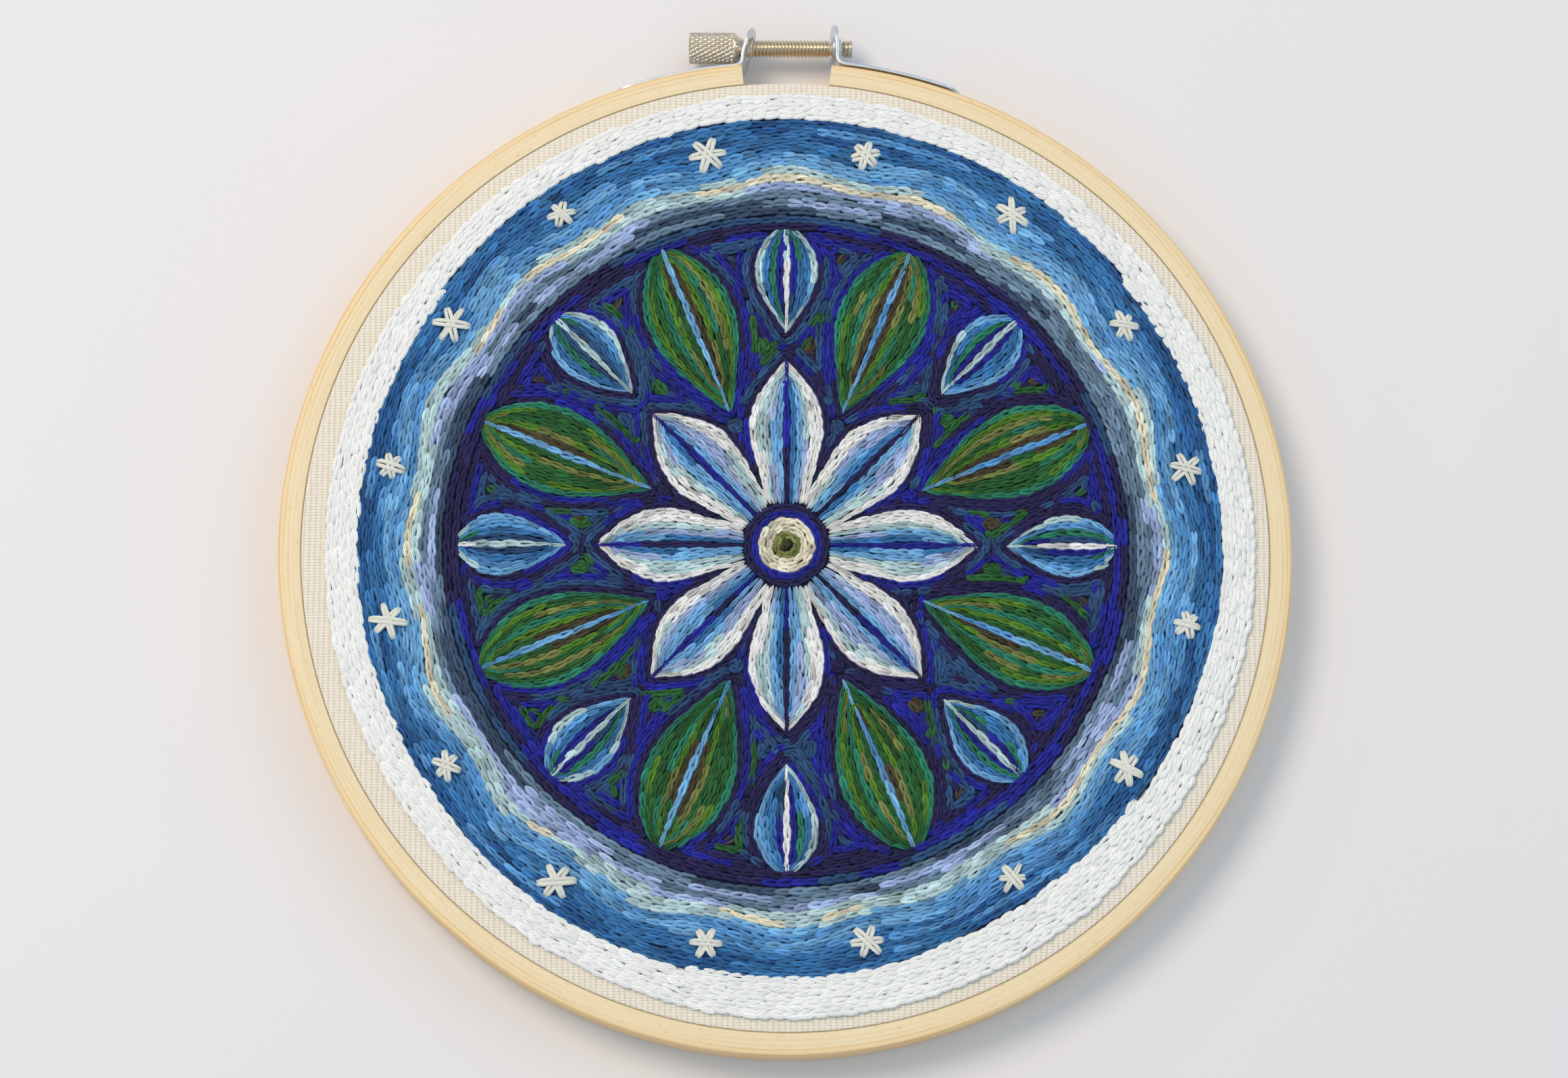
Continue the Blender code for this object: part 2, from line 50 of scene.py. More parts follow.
# the hoop's own middle and levels, read off the solids
outerLow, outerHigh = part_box("outer_hoop")
innerLow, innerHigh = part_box("inner_hoop")
clothLow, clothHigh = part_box("ground_cloth")
screwLow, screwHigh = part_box("thumb_screw")
clearance = 0.025 * mm  # between the cloth and the outer ring
clothStep = 0.35 * mm  # the cloth and the inner ring reach this much further out than their solids
hoopRadius = (outerHigh.x - outerLow.x) / 2
hoopY = outerLow.y + hoopRadius
hoopDepth = outerHigh.z
clothTop = clothHigh.z
clothRadius = (clothHigh.x - clothLow.x) / 2 + clothStep
boreRadius = clothRadius + clearance
innerRadius = (innerHigh.x - innerLow.x) / 2 + clothStep
innerBore = innerRadius - 3.7 * mm  # the thickness of both wooden solids
screwY = (screwLow.y + screwHigh.y) / 2 - hoopY  # from the hoop's middle, as all places below
screwZ = (screwLow.z + screwHigh.z) / 2


def srgb(red, green, blue):  # a colour given in 0 to 255, as the shader's linear values
    values = []
    for part in (red, green, blue):
        share = part / 255
        values.append(share / 12.92 if share <= 0.04045 else ((share + 0.055) / 1.055) ** 2.4)
    return tuple(values)


floss = {
    "midBlue": srgb(58, 124, 182),
    "deepBlue": srgb(40, 98, 158),
    "skyBlue": srgb(120, 180, 226),
    "lightBlue": srgb(94, 158, 214),
    "aqua": srgb(192, 219, 222),
    "cream": srgb(238, 230, 205),
    "white": srgb(250, 250, 247),
    "starWhite": srgb(238, 238, 226),
    "lilac": srgb(168, 188, 228),
    "cloudGrey": srgb(112, 140, 164),
    "slate": srgb(60, 82, 110),
    "navy": srgb(34, 28, 82),
    "royal": srgb(26, 32, 148),
    "steel": srgb(42, 80, 124),
    "forest": srgb(38, 98, 46),
    "seaGreen": srgb(40, 130, 102),
    "grass": srgb(86, 134, 36),
    "olive": srgb(124, 132, 70),
    "bark": srgb(74, 66, 44),
}


def addNode(tree, kind, inputs=None, **settings):
    # a shader node; an input is a plain value or another node's output
    node = tree.nodes.new(kind)
    for name, value in settings.items():
        setattr(node, name, value)
    for name, value in (inputs or {}).items():
        if isinstance(value, bpy.types.NodeSocket):
            tree.links.new(value, node.inputs[name])
        else:
            node.inputs[name].default_value = value
    return node


def mathNode(tree, operation, *values):
    return addNode(tree, "ShaderNodeMath", dict(enumerate(values)), operation=operation).outputs[0]


def noise(tree, place, scale, detail, roughness=0.5):
    return addNode(
        tree, "ShaderNodeTexNoise",
        {"Vector": place, "Scale": scale, "Detail": detail, "Roughness": roughness}).outputs["Fac"]


def axesOf(tree, place):
    return addNode(tree, "ShaderNodeSeparateXYZ", {"Vector": place}).outputs


def mixColour(tree, factor, first, second, blend="MIX"):
    node = addNode(tree, "ShaderNodeMix", data_type="RGBA", blend_type=blend)
    for index, value in ((0, factor), (6, first), (7, second)):
        if isinstance(value, bpy.types.NodeSocket):
            tree.links.new(value, node.inputs[index])
        else:
            node.inputs[index].default_value = value if index == 0 else (*value[:3], 1.0)
    return node.outputs[2]


def newMaterial(name, **sockets):
    material = bpy.data.materials.new(name)
    material.use_nodes = True
    tree = material.node_tree
    shader = tree.nodes["Principled BSDF"]
    for socket, value in sockets.items():
        shader.inputs[socket.replace("_", " ")].default_value = value
    return material, tree, shader


def addBump(tree, shader, height, strength, distance):
    bump = addNode(
        tree, "ShaderNodeBump", {"Height": height, "Strength": strength, "Distance": distance}
    )
    tree.links.new(bump.outputs[0], shader.inputs["Normal"])


def objectPlace(tree):
    return addNode(tree, "ShaderNodeTexCoord").outputs["Object"]


def hoopPlace(tree):  # object coordinates moved so that the hoop's axis is at zero
    return addNode(
        tree, "ShaderNodeMapping", {"Vector": objectPlace(tree), "Location": (0, -hoopY, 0)}).outputs[0]


def mapRange(tree, value, low, high, lowest=0.0, highest=1.0, smooth=False):
    node = addNode(
        tree, "ShaderNodeMapRange",
        {"Value": value, "From Min": low, "From Max": high, "To Min": lowest, "To Max": highest},
        interpolation_type="SMOOTHSTEP" if smooth else "LINEAR",
    )
    return node.outputs[0]


bamboo = {
    "straw": srgb(245, 229, 194),
    "darkStraw": srgb(236, 212, 166),
    "skin": srgb(240, 209, 158),
    "growthLine": srgb(222, 176, 108),
    "fleck": srgb(214, 168, 104),
    "wall": srgb(222, 176, 116),
    "paleWall": srgb(236, 200, 146),
    # the next colour is painted shade for the bore's edge
    "boreShade": srgb(150, 122, 70),
    "lineSpacing": 0.70 * mm,
    "lineWander": 0.9 * mm,
    "lastLine": 2.7 * mm,  # how far the lines reach in from the outside
    "fullLine": 0.4 * mm,
    "skinDepth": 1.5 * mm,
    "wallFrom": 0.12 * mm,  # below the front face
    "wallTo": 0.75 * mm,
    "boreShadeWidth": 0.26 * mm,
    "boreShadeLine": 0.02 * mm,
    "relief": 0.05 * mm,
}


def makeBamboo(name, outside, inside):
    # grain that runs round the ring, with ochre growth lines that gather near its outside, and a line of
    # painted shade along the bore's edge
    material, tree, shader = newMaterial(name, Roughness=0.46)
    shader.inputs["Specular IOR Level"].default_value = 0.38
    place = axesOf(tree, hoopPlace(tree))
    downwards = mathNode(tree, "MULTIPLY", place[1], -1.0)
    turn = mathNode(tree, "ARCTAN2", place[0], downwards)  # its seam is at the gap
    squares = mathNode(tree, "ADD", mathNode(tree, "POWER", place[0], 2.0),
                       mathNode(tree, "POWER", place[1], 2.0))
    radius = mathNode(tree, "SQRT", squares)
    along = mathNode(tree, "MULTIPLY", turn, outside)
    unrolled = addNode(
        tree, "ShaderNodeCombineXYZ", {"X": along, "Y": radius, "Z": place[2]}).outputs[0]

    def grain(stretch, scale, detail):
        squeezed = addNode(
            tree, "ShaderNodeMapping", {"Vector": unrolled, "Scale": (stretch, 1.0, 1.0)})
        return noise(tree, squeezed.outputs[0], scale, detail, 0.55)

    broad = grain(0.05, 420.0, 2.0)
    streaks = grain(0.018, 2300.0, 3.0)
    fibres = grain(0.06, 7000.0, 2.0)
    ticks = grain(0.35, 2600.0, 2.0)
    fromOutside = mathNode(tree, "SUBTRACT", outside, radius)
    wandering = mathNode(tree, "MULTIPLY_ADD", broad, bamboo["lineWander"], fromOutside)
    wave = mathNode(
        tree, "COSINE", mathNode(tree, "MULTIPLY", wandering, math.tau / bamboo["lineSpacing"]))
    lines = mapRange(tree, wave, 0.35, 1.0, smooth=True)
    lines = mathNode(tree, "MULTIPLY", lines, mapRange(tree, streaks, 0.36, 0.62))
    outerPart = mapRange(
        tree, fromOutside, bamboo["lastLine"], bamboo["fullLine"], 0.16, 0.90, smooth=True)
    lines = mathNode(tree, "MULTIPLY", lines, outerPart)
    straw = mixColour(tree, streaks, bamboo["straw"], bamboo["darkStraw"])
    warm = mixColour(tree, mapRange(tree, fromOutside, bamboo["skinDepth"], 0.0), straw, bamboo["skin"])
    lined = mixColour(tree, lines, warm, bamboo["growthLine"])
    coloured = mixColour(tree, mapRange(tree, ticks, 0.63, 0.74, 0.0, 0.45), lined, bamboo["fleck"])
    wall = mapRange(tree, place[2], hoopDepth - bamboo["wallFrom"], hoopDepth - bamboo["wallTo"],
                    0.0, 0.75, smooth=True)
    walled = mixColour(
        tree, wall, coloured, mixColour(tree, streaks, bamboo["wall"], bamboo["paleWall"]))
    # painted shade: a dark line along the bore's edge
    fromBore = mathNode(tree, "SUBTRACT", radius, inside)
    boreShade = mapRange(tree, fromBore, bamboo["boreShadeWidth"], bamboo["boreShadeLine"], 0.0, 0.8)
    tree.links.new(mixColour(tree, boreShade, walled, bamboo["boreShade"]), shader.inputs["Base Color"])
    relief = mathNode(tree, "MULTIPLY_ADD", fibres, 0.45, streaks)
    relief = mathNode(tree, "SUBTRACT", relief, mathNode(tree, "MULTIPLY", lines, 0.4))
    addBump(tree, shader, relief, 0.4, bamboo["relief"])
    return material


weave = {
    "warpPitch": 0.88 * mm,
    "weftPitch": 0.47 * mm,
    "drift": (0.45 * mm, 0.30 * mm, 0.0),
    "cellsAside": 400.0,  # keeps the numbers of the cells above zero
    "roundness": 0.55,
    "warpDip": 0.50,  # how high a thread still is where it goes under
    "weftDip": 0.30,
    "relief": 0.10 * mm,
}


def makeClothMaterial(name, thread, hollowShade, shade):
    # plain weave of a thick warp and a finer weft, each on top at every other crossing, with painted
    # shade in the hollows between the threads
    material, tree, shader = newMaterial(name, Roughness=0.85)
    shader.inputs["Sheen Weight"].default_value = 0.12
    shader.inputs["Specular IOR Level"].default_value = 0.2
    place = hoopPlace(tree)
    # below the top the cloth has turned down, so its pattern is unrolled from the hoop's axis
    down = mathNode(tree, "SUBTRACT", clothTop, axesOf(tree, place)[2])
    unroll = mathNode(tree, "MULTIPLY_ADD", down, 1 / clothRadius, 1.0)
    place = addNode(tree, "ShaderNodeVectorMath", {0: place, "Scale": unroll},
                    operation="SCALE").outputs[0]
    drift = addNode(tree, "ShaderNodeTexNoise", {"Vector": place, "Scale": 210.0, "Detail": 2.0})
    pushed = addNode(
        tree, "ShaderNodeVectorMath", {0: drift.outputs["Color"], 1: weave["drift"]},
        operation="MULTIPLY").outputs[0]
    moved = addNode(tree, "ShaderNodeVectorMath", {0: place, 1: pushed}, operation="ADD").outputs[0]
    axes = axesOf(tree, moved)
    cells, rounds = [], []
    for axis, pitch in ((0, weave["warpPitch"]), (1, weave["weftPitch"])):
        scaled = mathNode(tree, "ADD", mathNode(tree, "DIVIDE", axes[axis], pitch), weave["cellsAside"])
        cells.append(mathNode(tree, "FLOOR", scaled))
        inCell = mathNode(tree, "MULTIPLY", mathNode(tree, "FRACT", scaled), math.pi)
        rounds.append(mathNode(tree, "SINE", inCell))
    parity = mathNode(tree, "MODULO", mathNode(tree, "ADD", cells[0], cells[1]), 2.0)
    acrossWarp, acrossWeft = rounds

    def threadHeight(across, along, lowest):
        body = mathNode(tree, "POWER", across, weave["roundness"])
        crown = mathNode(tree, "MULTIPLY_ADD", along, 1 - lowest, lowest)
        return mathNode(tree, "MULTIPLY", body, crown)

    warpOnTop = threadHeight(acrossWarp, acrossWeft, weave["warpDip"])
    weftOnTop = threadHeight(acrossWeft, acrossWarp, weave["weftDip"])
    blend = addNode(tree, "ShaderNodeMix", data_type="FLOAT")
    for index, value in ((0, parity), (2, warpOnTop), (3, weftOnTop)):
        tree.links.new(value, blend.inputs[index])
    height = blend.outputs[0]
    slub = noise(tree, place, 1300.0, 3.0)
    tinted = mixColour(tree, slub, thread, shade)
    # painted shade: the hollow colour darkens where the weave lies low
    depth = mapRange(tree, height, 0.78, 0.12)
    depth = mathNode(tree, "MULTIPLY", depth, mapRange(tree, slub, 0.3, 0.6, 0.5, 1.0))
    tree.links.new(mixColour(tree, depth, tinted, hollowShade), shader.inputs["Base Color"])
    uneven = mathNode(tree, "MULTIPLY_ADD", slub, 0.35, height)
    addBump(tree, shader, uneven, 0.80, weave["relief"])
    return material


twist = {
    "strandsAround": 6.0,
    "strandsPerMetre": 1000.0,
    "wander": 1.4,
    "roundness": 0.6,
    "fibresPerStrand": 2.6,
    "fibresPerMetre": 420.0,
    "relief": 0.07 * mm,
}


def makeFloss(name, furrowShade, ridgeHighlight, sheen):
    # mercerised cotton: the strands of a leg show as slanting ridges along its own UV map, with painted
    # shade in their furrows and a painted highlight on their ridges
    material, tree, shader = newMaterial(name, Roughness=0.54)
    shader.inputs["Specular IOR Level"].default_value = 0.30
    shader.inputs["Sheen Weight"].default_value = sheen
    shader.inputs["Sheen Roughness"].default_value = 0.4
    colour = addNode(tree, "ShaderNodeAttribute", attribute_name="threadColour").outputs["Color"]
    uv = axesOf(tree, addNode(tree, "ShaderNodeUVMap", uv_map="thread").outputs[0])
    wander = noise(tree, objectPlace(tree), 900.0, 1.0)
    slant = mathNode(tree, "MULTIPLY", uv[1], twist["strandsAround"])
    slant = mathNode(tree, "MULTIPLY_ADD", uv[0], twist["strandsPerMetre"], slant)
    slant = mathNode(tree, "MULTIPLY_ADD", wander, twist["wander"], slant)
    ridge = mathNode(tree, "ABSOLUTE", mathNode(tree, "SINE", mathNode(tree, "MULTIPLY", slant, math.pi)))
    ridge = mathNode(tree, "POWER", ridge, twist["roundness"])
    strand = addNode(
        tree, "ShaderNodeTexWhiteNoise", {"W": mathNode(tree, "FLOOR", slant)},
        noise_dimensions="1D").outputs["Value"]
    fibrePlace = addNode(tree, "ShaderNodeCombineXYZ", {
        "X": mathNode(tree, "MULTIPLY", slant, twist["fibresPerStrand"]),
        "Y": mathNode(tree, "MULTIPLY", uv[0], twist["fibresPerMetre"])})
    fibre = mapRange(tree, noise(tree, fibrePlace.outputs[0], 1.0, 2.0), 0.34, 0.66)
    # painted shade in the furrows and a painted highlight on the ridges, which each strand's own noise
    # varies
    darker = mixColour(tree, 1.0, colour, furrowShade, "MULTIPLY")
    brightest = mixColour(tree, 1.0, colour, ridgeHighlight, "MULTIPLY")
    shine = mathNode(tree, "MULTIPLY_ADD", strand, 0.55, mathNode(tree, "MULTIPLY", fibre, 0.45))
    lighter = mixColour(tree, shine, colour, brightest)
    raised = mathNode(tree, "MULTIPLY", ridge, mathNode(tree, "MULTIPLY_ADD", fibre, 0.4, 0.6))
    tree.links.new(mixColour(tree, raised, darker, lighter), shader.inputs["Base Color"])
    height = mathNode(tree, "MULTIPLY_ADD", strand, 0.4, ridge)
    height = mathNode(tree, "MULTIPLY_ADD", fibre, 0.35, height)
    addBump(tree, shader, height, 0.85, twist["relief"])
    return material


def makeMetal(name, colour, roughness, streak, wear):
    # plated metal with fine brush marks, which are stretched along one axis by the streak
    material, tree, shader = newMaterial(name, Metallic=1.0)
    place = objectPlace(tree)
    stretched = addNode(tree, "ShaderNodeMapping", {"Vector": place, "Scale": streak}).outputs[0]
    brushed = noise(tree, stretched, 1800.0, 4.0)
    cloudy = mathNode(tree, "MULTIPLY", noise(tree, place, 260.0, 3.0), 0.6)
    tree.links.new(mixColour(tree, cloudy, colour, wear), shader.inputs["Base Color"])
    varied = mapRange(tree, brushed, 0.0, 1.0, roughness * 0.7, roughness * 1.4)
    tree.links.new(varied, shader.inputs["Roughness"])
    addBump(tree, shader, brushed, 0.12, 0.02 * mm)
    return material


outerBamboo = makeBamboo("outerBamboo", hoopRadius, boreRadius)
innerBamboo = makeBamboo("innerBamboo", innerRadius, innerBore)
creamCloth = makeClothMaterial(
    "creamCloth", srgb(248, 240, 228), srgb(218, 204, 178), srgb(241, 232, 214))
gapShadowCloth = makeClothMaterial(  # painted shadow: dark cloth for what shows between the field's stitches
    "gapShadowCloth", srgb(48, 62, 96), srgb(26, 32, 56), srgb(38, 50, 82))
# each floss: its multiplier for the furrows' painted shade, then for the ridges' painted highlight, then
# its sheen
fieldFloss = makeFloss("fieldFloss", (0.40, 0.41, 0.47), (1.62, 1.62, 1.56), 0.06)
whiteFloss = makeFloss("whiteFloss", (0.86, 0.87, 0.89), (1.06, 1.06, 1.05), 0.16)
sheetMetal = makeMetal("platedSheet", srgb(222, 226, 232), 0.34, (1, 1, 0.1), srgb(196, 201, 210))
screwMetal = makeMetal("platedScrew", srgb(230, 216, 194), 0.26, (0.1, 1, 1), srgb(194, 179, 154))
print("materials made")


def addPiece(name, mesh, materials, body, nodes):
    # a finished mesh, moved from the hoop's middle into the frame, on its body and slot
    mesh.transform(Matrix.Translation((0, hoopY, 0)))
    for material in materials:
        mesh.materials.append(material)
    piece = bpy.data.objects.new(name, mesh)
    bpy.context.scene.collection.objects.link(piece)
    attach(piece, body)
    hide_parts(*nodes)
    return piece


def meshFrom(bm, name, sharpDegrees=40):
    mesh = bpy.data.meshes.new(name)
    bmesh.ops.recalc_face_normals(bm, faces=bm.faces)
    bm.to_mesh(mesh)
    bm.free()
    mesh.shade_smooth()
    mesh.set_sharp_from_angle(angle=math.radians(sharpDegrees))
    return mesh


def roundedCorner(radius, height, rounding, firstDegrees, segments):
    # a quarter turn of profile points, turning clockwise from firstDegrees
    points = []
    for step in range(segments + 1):
        angle = math.radians(firstDegrees - 90 * step / segments)
        points.append((radius + rounding * math.cos(angle), height + rounding * math.sin(angle)))
    return points


woodenRings = {
    "frontRounding": 0.55 * mm,
    "boreRounding": 0.15 * mm,
    "backRounding": 0.5 * mm,
    "steps": 300,
    "gapInside": 13.8 * mm,
    "gapOutside": 14.6 * mm,
}


def ringProfile(radius, bore, depth):
    front = woodenRings["frontRounding"]
    back = woodenRings["backRounding"]
    inner = woodenRings["boreRounding"]
    profile = roundedCorner(radius - front, depth - front, front, 90, 6)
    profile += roundedCorner(radius - back, back, back, 0, 3)
    profile += roundedCorner(bore + back, back, back, -90, 3)
    profile += roundedCorner(bore + inner, depth - inner, inner, 180, 4)
    return profile


def spinProfile(profile, startAngle, sweep, steps, closedLoop):
    bm = bmesh.new()
    verts = [
        bm.verts.new((radius * math.cos(startAngle), radius * math.sin(startAngle), height))
        for radius, height in profile
    ]
    pairs = list(zip(verts, verts[1:]))
    if closedLoop:
        pairs.append((verts[-1], verts[0]))
    edges = [bm.edges.new(pair) for pair in pairs]
    bmesh.ops.spin(
        bm, geom=verts + edges, cent=(0, 0, 0), axis=(0, 0, 1), angle=sweep, steps=steps,
        use_merge=math.isclose(sweep, math.tau),
    )
    bmesh.ops.remove_doubles(bm, verts=bm.verts, dist=0.001 * mm)
    return bm


def makeOuterHoop():  # split at the top, with both ends cut so that the gap widens outwards
    profile = ringProfile(hoopRadius, boreRadius, hoopDepth)
    halfGap = math.asin(woodenRings["gapInside"] / 2 / boreRadius)
    start = math.pi / 2 + halfGap
    bm = spinProfile(profile, start, math.tau - 2 * halfGap, woodenRings["steps"], True)
    widening = (woodenRings["gapOutside"] - woodenRings["gapInside"]) / 2 / (hoopRadius - boreRadius)
    rims = [edge for edge in bm.edges if edge.is_boundary]
    for vert in {vert for edge in rims for vert in edge.verts}:
        radius = math.hypot(vert.co.x, vert.co.y)
        halfWidth = woodenRings["gapInside"] / 2 + widening * (radius - boreRadius)
        vert.co.x = math.copysign(halfWidth, vert.co.x)
        vert.co.y = math.sqrt(radius**2 - halfWidth**2)
    bmesh.ops.holes_fill(bm, edges=rims, sides=0)
    addPiece("outerHoopWood", meshFrom(bm, "outerHoopWood"), [outerBamboo], "hoop",
             ["outer_hoop"])


def makeInnerHoop():
    profile = ringProfile(innerRadius, innerBore, innerHigh.z)
    bm = spinProfile(profile, math.pi / 2, math.tau, woodenRings["steps"], True)
    addPiece("innerHoopWood", meshFrom(bm, "innerHoopWood"), [innerBamboo], "hoop",
             ["inner_hoop"])


makeOuterHoop()
makeInnerHoop()
print("wooden rings made")


# the white ring's edges from the hoop's middle, at even steps of angle from +X
whiteRing = {
    "inner": [69.0, 69.5, 70.2, 70.2, 69.7, 68.5, 68.0, 67.8, 68.5, 68.4, 67.2, 68.1],
    "outer": [73.9, 73.9, 73.9, 74.3, 73.7, 72.8, 72.5, 72.5, 73.6, 74.3, 74.1, 73.5],
    "rows": 3,
    "widestRow": 1.32 * mm,
    "overlap": 1.42,
    "link": 2.25 * mm,
    "rowTurn": 0.37,  # radians between the starts of two rows
    "rowStep": 0.02 * mm,
    "leastRoom": 0.3 * mm,  # for a row that only goes part of the way round
    "leastRow": 1.0 * mm,
}


def ringEdge(angles, column):  # an edge of the white ring at each angle, eased between the list's radii
    radii = np.array(whiteRing[column]) * mm
    position = np.mod(angles / math.tau, 1.0) * len(radii)
    first = np.floor(position).astype(int) % len(radii)
    second = (first + 1) % len(radii)
    blend = (1 - np.cos(math.pi * (position - np.floor(position)))) / 2
    return radii[first] + (radii[second] - radii[first]) * blend


sheetOfCloth = {
    "thickness": 0.45 * mm,
    "rounding": 0.50 * mm,
    "edgeDrop": 0.3,  # the share left of the corner's fall, so that only a thin line shows at the wood
    "hem": 0.6 * mm,
    "steps": 240,
    "wideLoops": [0, 20, 40, 60],  # radii in mm; finer ones lie where the cloth comes into view
    "fineLoops": np.arange(66, 71.5, 0.5),
    "gapShadowPast": 0.2 * mm,  # how far the painted shadow goes on under the white ring
}


def makeCloth():  # the stretched cloth: flat over the ring, round its edge and down between the rings
    thick = sheetOfCloth["thickness"]
    rounding = sheetOfCloth["rounding"]
    hem = sheetOfCloth["hem"]
    flat = clothRadius - rounding
    loops = (*sheetOfCloth["wideLoops"], *sheetOfCloth["fineLoops"])
    profile = [(radius * mm, clothTop) for radius in loops]
    profile += [
        (radius, clothTop - sheetOfCloth["edgeDrop"] * (clothTop - height))
        for radius, height in roundedCorner(flat, clothTop - rounding, rounding, 90, 7)
    ]
    profile += [(clothRadius, hem), (clothRadius - thick, hem)]
    profile += roundedCorner(flat, clothTop - rounding, rounding - thick, 90, 5)[::-1]
    profile.append((0.0, clothTop - thick))
    bm = spinProfile(profile, 0.0, math.tau, sheetOfCloth["steps"], False)
    mesh = meshFrom(bm, "stretchedCloth", 60)
    for face in mesh.polygons:
        x, y, z = face.center
        edge = ringEdge(np.array([math.atan2(y, x)]), "inner")[0]
        # the top faces under the field take the dark cloth with the painted shadow
        if z > clothTop - 0.01 * mm and math.hypot(x, y) < edge + sheetOfCloth["gapShadowPast"]:
            face.material_index = 1
    cloth = addPiece("stretchedCloth", mesh, [creamCloth, gapShadowCloth], "hoop",
                     ["ground_cloth"])


makeCloth()
print("cloth made")


# a chain stitch is two legs of floss; each leg is one small tube shaped by these tables
legShape = {
    "at": [0.0, 0.12, 0.30, 0.48, 0.66, 0.84, 1.0],
    "bow": [0.16, 0.42, 0.74, 0.94, 1.00, 0.84, 0.30],  # sideways, of the half width
    "lift": [-0.6, 0.70, 1.0, 0.75, 0.40, -0.1, -0.7],  # upwards, of the lift
    "girth": [0.78, 1.0, 1.05, 1.05, 1.05, 0.98, 0.70],
    "from": -0.12,  # of the link's length
    "to": 1.28,
}
rayShape = {
    "at": [0.0, 0.10, 0.30, 0.50, 0.70, 0.90, 1.0],
    "bow": [0.55, 0.85, 1.0, 1.0, 1.0, 0.85, 0.55],
    "lift": [-1.2, 0.15, 0.8, 1.0, 0.8, 0.15, -1.2],
    "girth": [0.75, 1.0, 1.05, 0.95, 1.05, 1.0, 0.75],
    "from": 0.0,
    "to": 1.0,
}


def legTemplate(sides, spots):
    # a unit tube as arrays: place along it, across and up on its circle, triangles and their UVs
    rings = len(spots) - 1
    bm = bmesh.new()
    bmesh.ops.create_cone(bm, cap_ends=True, segments=sides, radius1=1.0, radius2=1.0, depth=1.0)
    for ring in range(1, rings):
        everything = bm.verts[:] + bm.edges[:] + bm.faces[:]
        bmesh.ops.bisect_plane(
            bm, geom=everything, plane_co=(0, 0, ring / rings - 0.5), plane_no=(0, 0, 1))
    bmesh.ops.triangulate(bm, faces=bm.faces[:])
    bm.verts.index_update()
    points = np.array([vert.co[:] for vert in bm.verts])
    faces = np.array([[vert.index for vert in face.verts] for face in bm.faces])
    bm.free()
    around = np.arctan2(points[:, 1], points[:, 0]) / math.tau
    corner = around[faces]
    wraps = (corner.max(axis=1) - corner.min(axis=1)) > 0.5
    corner[wraps] = np.where(corner[wraps] < 0, corner[wraps] + 1, corner[wraps])
    along = np.interp(points[:, 2] + 0.5, np.linspace(0, 1, rings + 1), spots)
    return {"along": along, "across": points[:, 0], "up": points[:, 1],
            "faces": faces, "cornerAround": corner}


legSpots = [0.0, 0.10, 0.32, 0.60, 0.86, 1.0]
fieldLeg = legTemplate(4, legSpots)
borderLeg = legTemplate(6, legSpots)

handwork = {
    "link": 2.2 * mm,
    "glance": 0.7 * mm,  # how far apart a line's direction is looked at
    "sharpest": 0.5,  # radians counted at one such place, at most
    "turnForLink": 1.3,  # the turn that calls for one more link
    "colourRun": (2, 8),
    "widthSpread": 0.08,
    "heightSpread": 0.05 * mm,
    "girthSpread": 0.07,
    "bowSpread": 0.14,
    "legHeightSpread": 0.03 * mm,
    "legShade": 0.7,  # of the spread from link to link
}


def resample(points, length):  # marks along a line, about one stitch apart, and closer where it turns
    travelled = np.concatenate([[0.0], np.cumsum(np.hypot(*np.diff(points, axis=0).T))])

    def pointAt(places):
        return np.stack([np.interp(places, travelled, points[:, axis]) for axis in (0, 1)], axis=1)

    coarse = np.linspace(0.0, travelled[-1], int(travelled[-1] / handwork["glance"]) + 3)
    runs = np.diff(pointAt(coarse), axis=0)
    headings = np.unwrap(np.arctan2(runs[:, 1], runs[:, 0]))
    turning = np.minimum(np.abs(np.diff(headings)), handwork["sharpest"])
    turning = np.concatenate([[0.0], turning, [0.0]])
    measure = coarse / length + np.cumsum(turning) / handwork["turnForLink"]
    count = max(1, round(measure[-1]))
    return pointAt(np.interp(np.linspace(0.0, measure[-1], count + 1), measure, coarse))


def newStitches(seed):
    return {"start": [], "end": [], "halfWidth": [], "base": [], "colour": [],
            "draw": np.random.default_rng(seed)}


def addRow(stitches, points, colours, width, base=0.0, length=handwork["link"]):
    # adds one row of links; where it has several colours they come in short runs
    points = np.asarray(points, float)
    marks = resample(points, length)
    count = len(marks) - 1
    if np.ndim(width):
        nearest = np.hypot(*(points[None] - marks[:-1, None]).transpose(2, 0, 1)).argmin(axis=1)
        width = np.asarray(width)[nearest]
    stitches["start"].append(marks[:-1])
    stitches["end"].append(marks[1:])
    stitches["halfWidth"].append(np.broadcast_to(np.asarray(width) / 2, count))
    stitches["base"].append(np.full(count, base))
    draw = stitches["draw"]
    painted = []
    while len(painted) < count:
        run = draw.integers(*handwork["colourRun"])
        painted += [floss[colours[draw.integers(len(colours))]]] * run
    stitches["colour"].append(np.array(painted[:count]))


